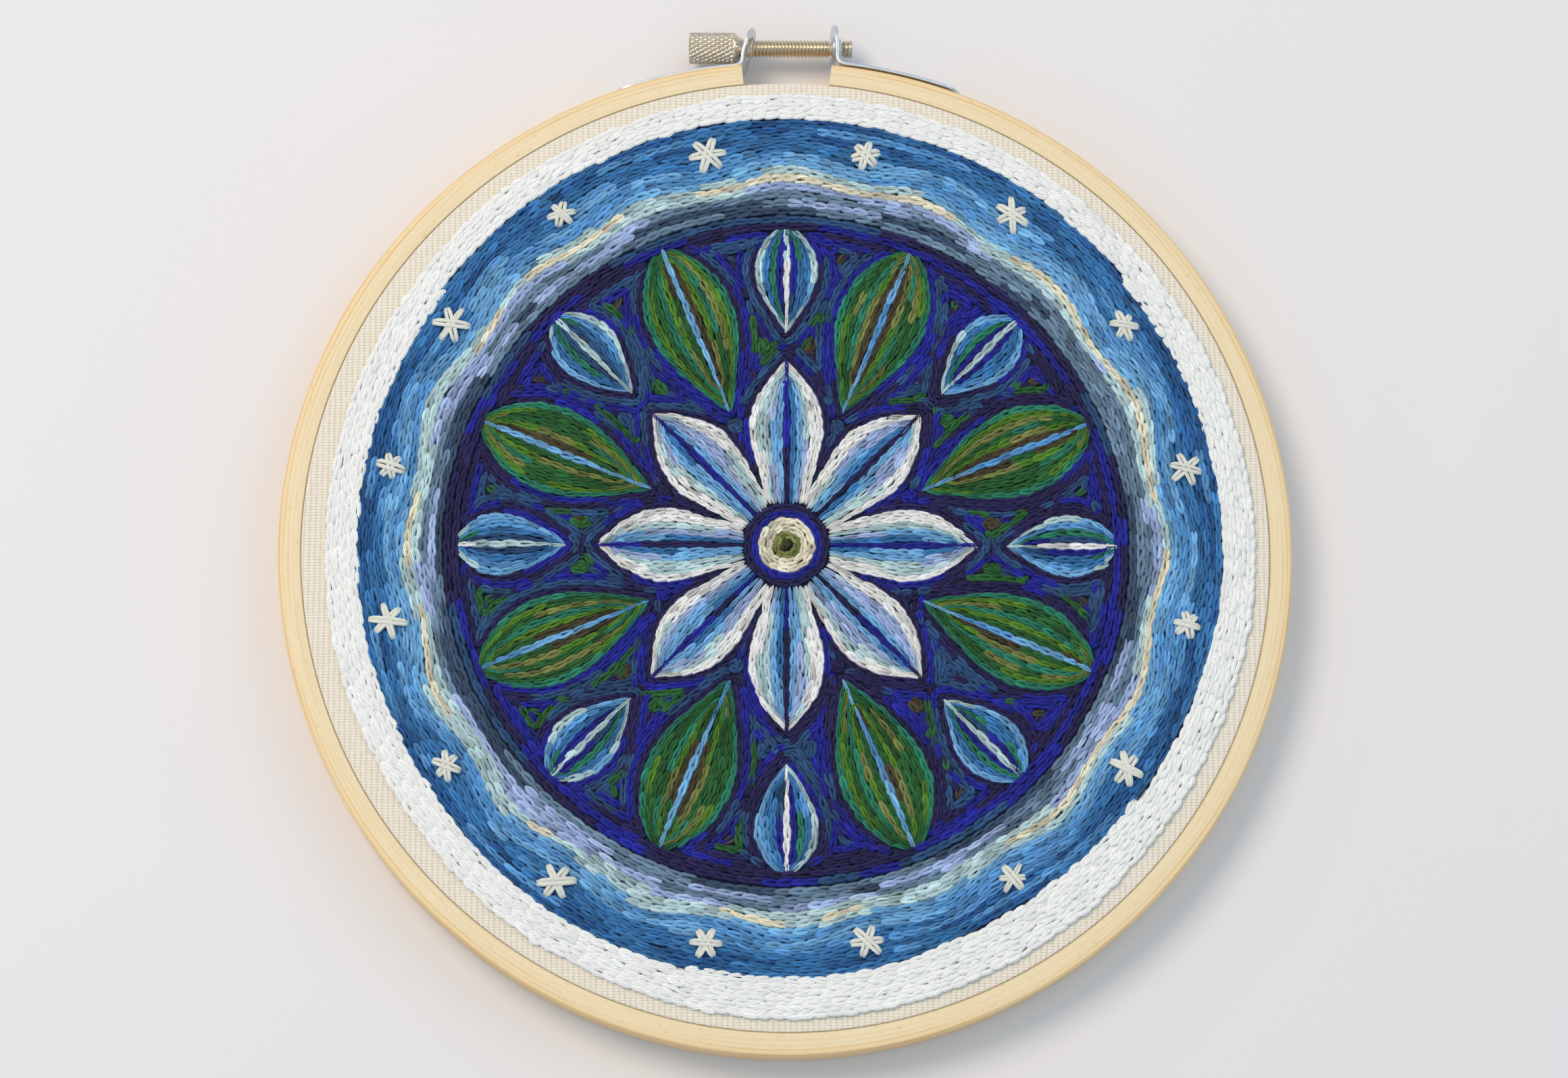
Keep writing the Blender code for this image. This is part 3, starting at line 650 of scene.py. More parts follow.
def stitchPiece(name, stitches, look, nodes):
    # all the links of one piece as a joined mesh, with small differences from link to link
    draw = stitches["draw"]
    start = np.concatenate(stitches["start"])
    end = np.concatenate(stitches["end"])
    half = np.concatenate(stitches["halfWidth"])
    base = np.concatenate(stitches["base"])
    colour = np.concatenate(stitches["colour"])
    count = len(start)
    start = start + draw.normal(0, look["stray"], start.shape)
    end = end + draw.normal(0, look["stray"], end.shape)
    half = half * draw.normal(1.0, handwork["widthSpread"], count)
    base = base + draw.normal(0, handwork["heightSpread"], count)
    heading = end - start
    length = np.hypot(*heading.T)
    heading = heading / length[:, None]
    side = np.stack([-heading[:, 1], heading[:, 0]], axis=1)
    template, shape = look["leg"], look["shape"]
    along = template["along"]
    bow, lift, girth = (np.interp(along, shape["at"], shape[key]) for key in ("bow", "lift", "girth"))
    onward = shape["from"] + (shape["to"] - shape["from"]) * along
    thin = half * look["legShare"]
    meshes = []
    for leg in (-1, 1):
        swell = draw.normal(1.0, handwork["girthSpread"], count)
        spread = draw.normal(1.0, handwork["bowSpread"], count)
        sideways = leg * ((half - thin) * spread)[:, None] * bow
        sideways = sideways + (thin * swell)[:, None] * (girth * template["across"])
        forwards = length[:, None] * onward
        flat = start[:, None, :] + heading[:, None, :] * forwards[..., None]
        flat = flat + side[:, None, :] * sideways[..., None]
        upper = look["rise"] + lift * look["lift"] + girth * look["tall"] * template["up"]
        level = clothTop + base + draw.normal(0, handwork["legHeightSpread"], count)
        height = level[:, None] + upper[None, :]
        meshes.append(np.concatenate([flat, height[..., None]], axis=2))
    points = np.stack(meshes, axis=1).reshape(-1, 3)
    tubes = count * 2
    vertsPerTube = len(along)
    offsets = np.arange(tubes)[:, None, None] * vertsPerTube
    faces = (template["faces"][None] + offsets).reshape(-1, 3)
    mesh = bpy.data.meshes.new(name)
    mesh.vertices.add(len(points))
    mesh.vertices.foreach_set("co", points.astype(np.float32).ravel())
    mesh.loops.add(faces.size)
    mesh.loops.foreach_set("vertex_index", faces.astype(np.int32).ravel())
    mesh.polygons.add(len(faces))
    mesh.polygons.foreach_set("loop_start", np.arange(0, faces.size, 3, dtype=np.int32))
    mesh.polygons.foreach_set("use_smooth", np.ones(len(faces), bool))
    uv = mesh.uv_layers.new(name="thread")
    alongCorner = np.tile(template["along"][template["faces"]].ravel(), tubes).reshape(tubes, -1)
    run = alongCorner * np.repeat(length, 2)[:, None] + draw.uniform(0, 1, tubes)[:, None]
    aroundCorner = np.tile(template["cornerAround"].ravel(), tubes).reshape(tubes, -1)
    pairs = np.stack([run, aroundCorner], axis=2).astype(np.float32)
    uv.data.foreach_set("uv", pairs.ravel())
    shade = np.repeat(draw.normal(1.0, look["shadeSpread"], count), 2)
    shade = shade * draw.normal(1.0, look["shadeSpread"] * handwork["legShade"], tubes)
    painted = np.clip(np.repeat(colour, 2, axis=0) * shade[:, None], 0, 1)
    painted = np.concatenate([painted, np.ones((tubes, 1))], axis=1)
    paint = mesh.attributes.new("threadColour", "FLOAT_COLOR", "POINT")
    paint.data.foreach_set("color", np.repeat(painted, vertsPerTube, axis=0).astype(np.float32).ravel())
    mesh.update()
    mesh.validate()
    print(name, "links", count, "triangles", len(faces))
    addPiece(name, mesh, [look["floss"]], "hoop", nodes)


fieldLook = {"shape": legShape, "leg": fieldLeg, "floss": fieldFloss, "stray": 0.09 * mm,
             "lift": 0.17 * mm, "legShare": 0.48, "rise": 0.29 * mm, "tall": 0.29 * mm,
             "shadeSpread": 0.15}
borderLook = {"shape": legShape, "leg": borderLeg, "floss": whiteFloss, "stray": 0.11 * mm,
              "lift": 0.14 * mm, "legShare": 0.52, "rise": 0.33 * mm, "tall": 0.31 * mm,
              "shadeSpread": 0.02}


def circleLine(radii, angles):
    return np.stack([radii * np.cos(angles), radii * np.sin(angles)], axis=1)


def makeBorder():  # rows from the ring's outer edge inwards; more of them where the ring is wide
    stitches = newStitches(11)
    angles = np.linspace(0.5 * math.pi, 2.5 * math.pi, 721)
    rows = whiteRing["rows"]

    def rowPitch(turns):
        width = ringEdge(turns, "outer") - ringEdge(turns, "inner")
        return np.minimum(whiteRing["widestRow"], width / rows)

    for row in range(rows):
        rolled = angles + whiteRing["rowTurn"] * (row + 1)
        pitch = rowPitch(rolled)
        rowRadius = ringEdge(rolled, "outer") - pitch * (row + 0.5)
        addRow(stitches, circleLine(rowRadius, rolled), ["white"], pitch * whiteRing["overlap"],
               whiteRing["rowStep"] * row, whiteRing["link"])
    pitch = rowPitch(angles)
    for row in (rows, rows + 1):
        left = ringEdge(angles, "outer") - ringEdge(angles, "inner") - row * pitch
        kept = left > whiteRing["leastRoom"]
        width = np.clip(left, whiteRing["leastRow"], pitch)[kept]
        middle = (ringEdge(angles, "inner") + left)[kept] - width / 2
        addRow(stitches, circleLine(middle, angles[kept]), ["white"], width * whiteRing["overlap"],
               whiteRing["rowStep"] * row, whiteRing["link"])
    stitchPiece("whiteBorderStitches", stitches, borderLook, ["border_stitching"])


makeBorder()

# the filled field: rows follow the petals and leaves, and ring the ground between them
design = {
    "petals": 8,
    "eyeRadius": 6.4 * mm,
    "petalRoot": 9.0 * mm,
    "petalTip": 30.0 * mm,
    "petalSwell": 4.1 * mm,
    "petalFullness": 1.2,
    "leafBase": 51.5 * mm,
    "leafStalk": 1.4 * mm,
    "largeTip": 23.0 * mm,
    "largeSwell": 6.2 * mm,
    "smallTip": 34.5 * mm,
    "smallSwell": 4.2 * mm,
    "leafFullness": 0.8,
    "petalMarks": 200,
    "leafMarks": 240,
    "pitch": 1.10 * mm,
    "overlap": 1.25,
    "thinnest": 0.52 * mm,
    "petalHeight": 0.20 * mm,  # how much higher than the band's rows the motifs lie
    "leafHeight": 0.18 * mm,
    "ribHeight": 0.06 * mm,  # above the rest of its motif
    "eyeRow": 1.12 * mm,
    "eye": [(0.55, "bark"), (1.7, "olive"), (2.85, "cream"), (4.0, "cream"), (5.15, "royal"),
            (6.2, "navy")],  # radii in mm
    "wreathRow": 1.4 * mm,
    "wreath": [(52.15, ["navy", "royal"]), (53.35, ["royal", "navy", "steel"])],
    "bandInner": 54.2 * mm,
    "bandOuterGap": 0.1 * mm,
    "bandRows": 13,
    "bandTurn": 0.61,  # radians between the starts of two rows
    "waves": 16,
    "waveHeight": 0.95 * mm,
}


def petalHalfWidth(distance):
    # half the petal's width at a distance from the middle; near the root the petals touch
    root = design["petalRoot"]
    slope = math.tan(math.pi / design["petals"])
    share = np.clip((distance - root) / (design["petalTip"] - root), 0, 1)
    swell = design["petalSwell"] * np.sin(math.pi * share ** design["petalFullness"])
    return np.where(distance < root, distance * slope, root * slope * (1 - share) + swell)


def leafHalfWidth(distance, tip, swell):
    base = design["leafBase"]
    share = np.clip((base - distance) / (base - tip), 0, 1)
    grown = swell * np.sin(math.pi * share ** design["leafFullness"])
    width = design["leafStalk"] * (1 - share) + grown
    return np.where((distance > base) | (distance < tip), 0.0, width)


def turned(points, turn):
    rotation = np.array([[math.cos(turn), math.sin(turn)], [-math.sin(turn), math.cos(turn)]])
    return points @ rotation


def sharedRows(distances, halfWidths):
    # rows that share out a shape's width; they thin towards its ends, where the inner ones stop
    count = round(halfWidths.max() / design["pitch"] - 0.5)
    width = np.maximum(halfWidths / (count + 0.5), design["thinnest"])
    rows = []
    for row in range(count):
        place = halfWidths - (row + 0.5) * width
        kept = place > 0.4 * width
        sides = [np.stack([distances[kept], sign * place[kept]], axis=1) for sign in (-1, 1)]
        rows.append((sides, width[kept] * design["overlap"]))
    middle = halfWidths > 0.5 * width
    rib = np.stack([distances[middle], np.zeros(middle.sum())], axis=1)
    return rows, (rib, width[middle] * design["overlap"])


def addShape(stitches, distances, halfWidths, turn, shades, midrib, base):
    rows, (rib, ribWidth) = sharedRows(distances, halfWidths)
    for row, (sides, width) in enumerate(rows):
        for side in sides:
            addRow(stitches, turned(side, turn), shades[min(row, len(shades) - 1)], width, base)
    addRow(stitches, turned(rib, turn), midrib, ribWidth, base + design["ribHeight"])


def makeRosette():
    stitches = newStitches(21)
    distances = np.linspace(design["eyeRadius"] + 0.5 * mm, design["petalTip"] - 0.15 * mm, 160)
    shades = [["white"], ["white", "aqua"], ["lilac", "aqua"], ["skyBlue", "lilac"],
              ["midBlue", "skyBlue"]]
    for petal in range(design["petals"]):
        addShape(stitches, distances, petalHalfWidth(distances), math.tau * petal / design["petals"],
                 shades, ["royal", "navy"], design["petalHeight"])
    for radius, colour in design["eye"]:
        angles = np.linspace(0, math.tau, 73) + radius  # so that no two rings start at one place
        addRow(stitches, circleLine(radius * mm, angles), [colour],
               design["eyeRow"] * design["overlap"], design["petalHeight"])
    stitchPiece("rosetteStitches", stitches, fieldLook, ["rosette_stitching"])


def makeLeaves(name, tip, swell, shades, midrib, turnOffset, seed):
    stitches = newStitches(seed)
    distances = np.linspace(tip + 0.1 * mm, design["leafBase"] - 0.1 * mm, 160)
    widths = leafHalfWidth(distances, tip, swell)
    for leaf in range(design["petals"]):
        addShape(stitches, distances, widths, (leaf + turnOffset) * math.tau / design["petals"],
                 shades, midrib, design["leafHeight"])
    stitchPiece(name, stitches, fieldLook, ["wreath_stitching"])


def makeWreathRing():
    stitches = newStitches(31)
    angles = np.linspace(0, math.tau, 361)
    for radius, colours in design["wreath"]:
        addRow(stitches, circleLine(radius * mm, angles + radius), colours, design["wreathRow"],
               design["leafHeight"])
    stitchPiece("wreathRingStitches", stitches, fieldLook, ["wreath_stitching"])


def motifShapes():  # each petal and leaf: its turn, marks from end to end, and its half-width there
    for step in range(2 * design["petals"]):
        turn = math.pi * step / design["petals"]
        size = "large" if step % 2 else "small"
        if size == "small":  # a small leaf stands beyond each petal
            yield (turn, np.linspace(design["petalRoot"], design["petalTip"], design["petalMarks"]),
                   petalHalfWidth)
        tip, swell = design[size + "Tip"], design[size + "Swell"]
        yield (turn, np.linspace(tip, design["leafBase"], design["leafMarks"]),
               partial(leafHalfWidth, tip=tip, swell=swell))


def motifOutlines():  # points close together along every petal, every leaf and the wreath's ring
    lines = []
    for turn, marks, halfWidth in motifShapes():
        for sign in (-1, 1):
            lines.append(turned(np.stack([marks, sign * halfWidth(marks)], axis=1), turn))
    lines.append(circleLine(design["leafBase"], np.linspace(0, math.tau, 2400)))
    return np.concatenate(lines)


def insideMotif(x, y):
    fromMiddle = np.hypot(x, y)
    inside = (fromMiddle > design["leafBase"]) | (fromMiddle < design["petalRoot"])
    for turn, marks, halfWidth in motifShapes():
        distance = x * math.cos(turn) + y * math.sin(turn)
        across = np.abs(y * math.cos(turn) - x * math.sin(turn))
        inside |= (distance > 0) & (distance < marks[-1]) & (across < halfWidth(distance))
    return inside


def contourLines(field, level, ticks):
    # the lines along which a square grid of heights has one level, each as a chain of points
    size = len(ticks)
    high = field > level

    def crossings(axis):
        first = field[:-1, :] if axis == 0 else field[:, :-1]
        second = field[1:, :] if axis == 0 else field[:, 1:]
        rows, columns = np.nonzero(high[:-1, :] != high[1:, :] if axis == 0
                                   else high[:, :-1] != high[:, 1:])
        share = (level - first[rows, columns]) / (second[rows, columns] - first[rows, columns])
        spacing = ticks[1] - ticks[0]
        x = ticks[rows] + (share * spacing if axis == 0 else 0)
        y = ticks[columns] + (share * spacing if axis == 1 else 0)
        return {(axis, row, column): (px, py)
                for row, column, px, py in zip(rows.tolist(), columns.tolist(), x, y)}

    points = crossings(0) | crossings(1)
    neighbours = {key: [] for key in points}
    changed = (high[:-1, :-1] != high[1:, :-1]) | (high[:-1, :-1] != high[:-1, 1:]) | (
        high[:-1, :-1] != high[1:, 1:])
    for row, column in np.argwhere(changed[: size - 1, : size - 1]).tolist():
        sides = [(0, row, column), (1, row + 1, column), (0, row, column + 1), (1, row, column)]
        met = [side for side in sides if side in points]
        for first, second in zip(met[::2], met[1::2]):
            neighbours[first].append(second)
            neighbours[second].append(first)
    lines = []
    unused = set(points)
    starts = [key for key in points if len(neighbours[key]) == 1] + list(points)
    for start in starts:
        if start not in unused:
            continue
        chain = [start]
        unused.discard(start)
        onward = [key for key in neighbours[start] if key in unused]
        while onward:
            chain.append(onward[0])
            unused.discard(onward[0])
            onward = [key for key in neighbours[chain[-1]] if key in unused]
        if start in neighbours[chain[-1]] and len(chain) > 2:
            chain.append(start)
        lines.append(np.array([points[key] for key in chain]))
    return lines


def smoothed(line):  # the same line with its corners eased; a closed one stays closed
    closed = np.allclose(line[0], line[-1])
    for _ in range(3):
        middle = (line[:-2] + 2 * line[1:-1] + line[2:]) / 4
        if closed:
            end = (line[-2] + 2 * line[0] + line[1]) / 4
            line = np.concatenate([[end], middle, [end]])
        else:
            line = np.concatenate([line[:1], middle, line[-1:]])
    return line


def throughMiddle(points, reach):  # a short straight line along the longer way of a few points
    middle = points.mean(axis=0)
    heading = np.linalg.svd(points - middle)[2][0]
    return np.stack([middle - heading * reach, middle + heading * reach])


ground = {
    "pitch": 1.02 * mm,
    "rings": 9,
    "firstRow": 0.48,  # of the pitch, from a motif's outline
    "shades": [["navy", "royal", "navy"], ["royal", "steel", "navy"], ["steel", "forest", "royal"],
               ["forest", "steel", "bark"], ["navy", "steel"], ["royal", "navy"]],
    "ticks": 300,
    "rowWidth": 1.34,
    "rowStep": 0.02 * mm,
    "shortest": 3.6 * mm,  # a loop shorter than this becomes a few links in a line
    "tuckWidth": 1.2,
    "tuckReach": 0.8 * mm,
    "ridgeSlope": 0.8,  # below this the distance is near its highest, on a gap's middle line
    "ridgeFrom": 0.45,  # of the pitch, past the last row
    "ridgeHeight": 0.6,
    "fillerApart": 1.7 * mm,
    "fillerNear": 1.2 * mm,
    "fillerReach": 1.0 * mm,
    "fillerShades": ["steel", "navy", "royal"],
}


def addFillers(stitches, field, ticks):  # single links close what is left open along each gap's middle
    pitch = ground["pitch"]
    slope = np.hypot(*np.gradient(field, ticks[1] - ticks[0]))
    pastRow = np.mod(field / pitch - ground["firstRow"], 1.0)
    bare = np.argwhere((slope < ground["ridgeSlope"]) & (pastRow > ground["ridgeFrom"])
                       & (field > ground["ridgeHeight"] * pitch))
    bare = bare[np.argsort(-pastRow[bare[:, 0], bare[:, 1]], kind="stable")]
    places = ticks[bare]
    taken = []
    for (row, column), place in zip(bare, places):
        if taken and np.hypot(*(np.array(taken) - place).T).min() < ground["fillerApart"]:
            continue
        taken.append(place)
        near = places[np.hypot(*(places - place).T) < ground["fillerNear"]]
        if len(near) > 2:
            width = pitch * min(1.3, max(0.6, 2 * pastRow[row, column] - 0.5))
            addRow(stitches, throughMiddle(near, ground["fillerReach"]), ground["fillerShades"],
                   width, ground["rowStep"])


def makeGround():  # rows that echo the outlines of the motifs, one round another, until the gap is full
    stitches = newStitches(41)
    outlines = motifOutlines()
    tree = KDTree(len(outlines))
    for index, (x, y) in enumerate(outlines):
        tree.insert((x, y, 0), index)
    tree.balance()
    reach = design["leafBase"] + 1.0 * mm
    ticks = np.linspace(-reach, reach, ground["ticks"])
    x, y = np.meshgrid(ticks, ticks, indexing="ij")
    field = np.array([tree.find((px, py, 0))[2] for px, py in zip(x.ravel(), y.ravel())])
    field = field.reshape(x.shape) * np.where(insideMotif(x, y), -1, 1)
    pitch = ground["pitch"]
    for ring in range(ground["rings"]):
        shades = ground["shades"][ring % len(ground["shades"])]
        base = ground["rowStep"] * ring
        for line in contourLines(field, pitch * (ring + ground["firstRow"]), ticks):
            travelled = np.hypot(*np.diff(line, axis=0).T).sum()
            if travelled > ground["shortest"]:
                addRow(stitches, smoothed(line), shades, pitch * ground["rowWidth"], base)
            elif len(line) > 2:
                addRow(stitches, throughMiddle(line, ground["tuckReach"]), shades,
                       pitch * ground["tuckWidth"], base)
    addFillers(stitches, field, ticks)
    stitchPiece("groundStitches", stitches, fieldLook, ["ground_stitching"])


def bandRowRadius(angles, share):
    # rows of the outer band, evenly from the wreath to the white ring, in gentle waves
    outer = ringEdge(angles, "inner") - design["bandOuterGap"]
    wave = design["waveHeight"] * np.cos(design["waves"] * angles) * math.sin(math.pi * share) ** 2
    return design["bandInner"] + (outer - design["bandInner"]) * share + wave


def makeBand(name, rows, colours, seed):
    stitches = newStitches(seed)
    angles = np.linspace(0, math.tau, 1441)
    for row, rowColours in zip(rows, colours):
        rolled = angles + design["bandTurn"] * row
        inside, middle, outside = (
            bandRowRadius(rolled, (row + part) / design["bandRows"]) for part in (0, 0.5, 1))
        addRow(stitches, circleLine(middle, rolled), rowColours, (outside - inside) * design["overlap"])
    stitchPiece(name, stitches, fieldLook, ["band_stitching"])


starStitches = {
    "pairs": 8,
    "largeRay": 2.9 * mm,
    "smallRay": 2.4 * mm,
    "width": 1.35 * mm,
    "base": 0.45 * mm,
    "crossing": 0.14 * mm,  # each stitch lies this much higher than the one under it
    "place": 0.73,  # across the whole band, from the wreath outwards
    "lean": 0.09,  # radians
    "reach": (0.88, 1.1),
}
starLook = {"shape": rayShape, "leg": borderLeg, "floss": whiteFloss, "stray": 0.06 * mm,
            "lift": 0.34 * mm, "legShare": 0.5, "rise": 0.30 * mm, "tall": 0.28 * mm,
            "shadeSpread": 0.02}


def makeStars():  # each star is three straight stitches of a few strands, crossed at its middle
    stitches = newStitches(5)
    draw = stitches["draw"]
    for star in range(2 * starStitches["pairs"]):
        turn = math.pi * (star + 0.5) / starStitches["pairs"]
        ray = starStitches["largeRay"] if star % 2 == 0 else starStitches["smallRay"]
        radius = float(bandRowRadius(np.array([turn]), starStitches["place"])[0])
        middle = np.array([radius * math.cos(turn), radius * math.sin(turn)])
        tilt = draw.uniform(0, math.pi / 3)
        for stitch in range(3):
            angle = tilt + stitch * math.pi / 3 + draw.normal(0, starStitches["lean"])
            heading = np.array([math.cos(angle), math.sin(angle)])
            reach = ray * draw.uniform(*starStitches["reach"])
            line = np.stack([middle - heading * reach, middle + heading * reach])
            base = starStitches["base"] + starStitches["crossing"] * stitch
            oneLink = 2.4 * reach  # longer than the line, so that it isn't divided
            addRow(stitches, line, ["starWhite"], starStitches["width"], base, oneLink)
    stitchPiece("starStitches", stitches, starLook, ["band_stitching"])


makeRosette()
makeLeaves("largeLeafStitches", design["largeTip"], design["largeSwell"],
           [["seaGreen"], ["forest", "grass"], ["olive", "forest"], ["seaGreen", "forest"],
            ["grass", "olive"], ["bark", "forest"]], ["skyBlue", "lightBlue"], 0.5, 32)
makeLeaves("smallLeafStitches", design["smallTip"], design["smallSwell"],
           [["skyBlue", "aqua"], ["midBlue", "lightBlue"], ["seaGreen", "midBlue"],
            ["steel", "royal"]], ["white", "aqua"], 0.0, 33)
makeWreathRing()
makeGround()
makeBand("innerBandStitches", range(6),
         [["slate", "cloudGrey"], ["cloudGrey", "slate", "lilac"], ["lilac", "cloudGrey"],
          ["aqua", "lilac"], ["cream", "aqua"], ["aqua", "skyBlue"]], 61)
makeBand("outerBandStitches", range(6, design["bandRows"]),
         [["skyBlue", "lightBlue"], ["lightBlue", "skyBlue"], ["lightBlue", "midBlue", "skyBlue"],
          ["midBlue", "midBlue", "lightBlue"], ["midBlue", "deepBlue"],
          ["midBlue", "lightBlue", "deepBlue"], ["deepBlue", "midBlue"]], 62)
makeStars()
print("stitching made")


# the sheet-metal straps, as the middle of the sheet seen from the front
clasp = {
    "sheet": 0.5 * mm,
    "width": 8.0 * mm,
    "stepOff": 0.42 * mm,
    "endDegrees": 20.6,
    "rounding": 3.0 * mm,
    "toe": 0.8 * mm,
    "left": {"base": (-7.52, 80.2), "top": (-5.45, 87.0), "fillet": 1.0 * mm, "side": -1},
    "right": {"base": (7.85, 80.2), "top": (7.50, 87.5), "fillet": 2.2 * mm, "side": 1},
    "leanOver": 2.0 * mm,  # of the ear's height, over which its lean grows
    "looseHole": 1.87 * mm,
    "tappedHole": 1.42 * mm,
    "holeReach": 4.0 * mm,
    "edgeBevel": 0.09 * mm,
    "bendSteps": 10,
    "endSteps": 10,
}


def claspPath(ear):
    # strap, bend and ear as one line of points: even steps, and finer ones at the rounded ends
    side, fillet = ear["side"], ear["fillet"]
    base, top = Vector(ear["base"]) * mm, Vector(ear["top"]) * mm
    radius = hoopRadius + clasp["stepOff"]
    lean = math.atan2(top.y - base.y, top.x - base.x)
    baseAngle = math.atan2(base.y, base.x)
    heading = baseAngle + side * math.pi / 2
    turn = (lean - heading + math.pi) % math.tau - math.pi
    setback = fillet * math.tan(abs(turn) / 2)
    endAngle = math.pi / 2 - side * math.radians(clasp["endDegrees"])
    stopAngle = baseAngle - side * setback / radius
    rounded = clasp["rounding"] / radius
    quarters = [math.pi / 2 * step / clasp["endSteps"] for step in range(clasp["endSteps"] + 1)]
    angles = [endAngle + side * rounded * (1 - math.cos(quarter)) for quarter in quarters[:-1]]
    angles += list(np.linspace(endAngle + side * rounded, stopAngle, 40))
    path = [Vector((radius * math.cos(angle), radius * math.sin(angle))) for angle in angles]
    reach = 2 * fillet * math.sin(abs(turn) / clasp["bendSteps"] / 2)
    for step in range(clasp["bendSteps"]):
        direction = heading + turn * (step + 0.5) / clasp["bendSteps"]
        path.append(path[-1] + reach * Vector((math.cos(direction), math.sin(direction))))
    foot = path[-1]
    straight = (top - foot).length - clasp["rounding"]
    shares = list(np.linspace(0, straight, 5))[1:]
    shares += [straight + clasp["rounding"] * math.sin(quarter) for quarter in quarters[1:]]
    path += [foot + (top - foot).normalized() * share for share in shares]
    return path


def makeClasp(name, ear, node, holeRadius, collarProfile):
    # a grid bent along the path, thickened, then bored for the screw
    path = claspPath(ear)
    travelled = [0.0]
    for first, second in zip(path, path[1:]):
        travelled.append(travelled[-1] + (second - first).length)
    rounding, halfWide = clasp["rounding"], clasp["width"] / 2
    bm = bmesh.new()
    columns = len(path) - 1
    bmesh.ops.create_grid(bm, x_segments=columns, y_segments=4, size=0.5)
    for vert in bm.verts:
        column = round((vert.co.x + 0.5) * columns)
        toEnd = min(travelled[column], travelled[-1] - travelled[column])
        inset = max(0.0, rounding - toEnd)
        reach = halfWide - rounding + math.sqrt(max(0.0, rounding**2 - inset**2))
        inEar = min(1.0, max(0.0, (path[column].y - ear["base"][1] * mm) / clasp["leanOver"]))
        height = 2 * vert.co.y * reach
        toe = clasp["toe"] * ear["side"] * inEar * height / clasp["width"]  # leans outwards in front
        vert.co = (path[column].x + toe, path[column].y, screwZ + height)
    bmesh.ops.recalc_face_normals(bm, faces=bm.faces)
    bmesh.ops.solidify(bm, geom=bm.faces[:], thickness=clasp["sheet"])
    bmesh.ops.recalc_face_normals(bm, faces=bm.faces)
    sharp = [edge for edge in bm.edges if edge.calc_face_angle(0) > math.radians(60)]
    bmesh.ops.bevel(bm, geom=sharp, offset=clasp["edgeBevel"], segments=2, profile=0.5,
                    affect="EDGES", material=-1)
    mesh = meshFrom(bm, name)
    piece = bpy.data.objects.new(name + "Blank", mesh)
    bpy.context.scene.collection.objects.link(piece)
    tools = []
    if collarProfile:
        tools.append((turnedAlongX("collar", collarProfile, 40), "UNION"))
    middle = (path[-1].x + ear["base"][0] * mm) / 2
    left, right = middle - clasp["holeReach"], middle + clasp["holeReach"]
    bore = [(0.0, right), (holeRadius, right), (holeRadius, left), (0.0, left)]
    tools.append((turnedAlongX("bore", bore, 40), "DIFFERENCE"))
    for tool, operation in tools:
        cut = piece.modifiers.new(tool.name, "BOOLEAN")
        cut.operation = operation
        cut.object = tool
    bpy.context.view_layer.update()
    graph = bpy.context.evaluated_depsgraph_get()
    finished = bpy.data.meshes.new_from_object(piece.evaluated_get(graph))
    for helper in [piece] + [tool for tool, _ in tools]:
        bpy.data.objects.remove(helper, do_unlink=True)
    finished.name = name
    finished.materials.clear()
    finished.set_sharp_from_angle(angle=math.radians(35))
    addPiece(name, finished, [sheetMetal], "hoop", [node])


def layOnScrewAxis(bm):  # turns what was spun about Z into a body on the screw's axis
    bmesh.ops.rotate(bm, verts=bm.verts, cent=(0, 0, 0), matrix=Matrix.Rotation(math.pi / 2, 3, "Y"))
    bmesh.ops.translate(bm, verts=bm.verts, vec=(0, screwY, screwZ))


def turnedAlongX(name, profile, steps):
    # a helper for cutting or joining; the profile is (radius, place along X), right to left
    bm = spinProfile(profile, 0.0, math.tau, steps, False)
    layOnScrewAxis(bm)
    helper = bpy.data.objects.new(name, meshFrom(bm, name))
    bpy.context.scene.collection.objects.link(helper)
    return helper


# the raised and tapped rim of the right ear, as a profile of (radius, place along X)
collar = [(0.0, 9.0 * mm), (1.66 * mm, 9.0 * mm), (1.80 * mm, 8.88 * mm), (1.80 * mm, 8.45 * mm),
          (1.86 * mm, 8.2 * mm), (2.10 * mm, 8.02 * mm), (2.15 * mm, 7.62 * mm), (0.0, 7.62 * mm)]
makeClasp("leftClaspMetal", clasp["left"], "left_clasp", clasp["looseHole"], None)
makeClasp("rightClaspMetal", clasp["right"], "right_clasp", clasp["tappedHole"], collar)
print("clasps made")


closingScrew = {
    "crest": 1.47 * mm,
    "root": 1.12 * mm,
    "pitch": 0.575 * mm,
    "rowsPerTurn": 6,
    "grooveShare": 1.3,  # more than 1 narrows the grooves and widens the crests
    "threadFrom": -5.75 * mm,
    "threadTo": 10.70 * mm,
    "right": 10.83 * mm,
    "endRadius": 1.32 * mm,
    "endChamfer": 0.10 * mm,
    "neckFrom": 7.0 * mm,  # plain inside the tapped collar
    "neckTo": 9.3 * mm,
    "shank": 1.42 * mm,  # the plain part between the thread and the head
    "headLeft": -15.8 * mm,
    "headChamfer": (0.22 * mm, 0.16 * mm),  # inwards and along
    "headHollow": 1.2 * mm,
    "gripRight": -8.3 * mm,
    "headRight": -7.55 * mm,
    "coneEnd": -7.0 * mm,
    "coneRim": 0.25 * mm,
    "headRadius": 2.55 * mm,
    "shoulder": 1.8 * mm,
    "gripRows": 80,
    "knurlDepth": 0.36 * mm,
    "knurlSlope": 1.8,
    "knurlFade": 0.5 * mm,
    "diamondsAround": 20,
    "diamondLength": 1.36 * mm,
    "steps": 120,
}


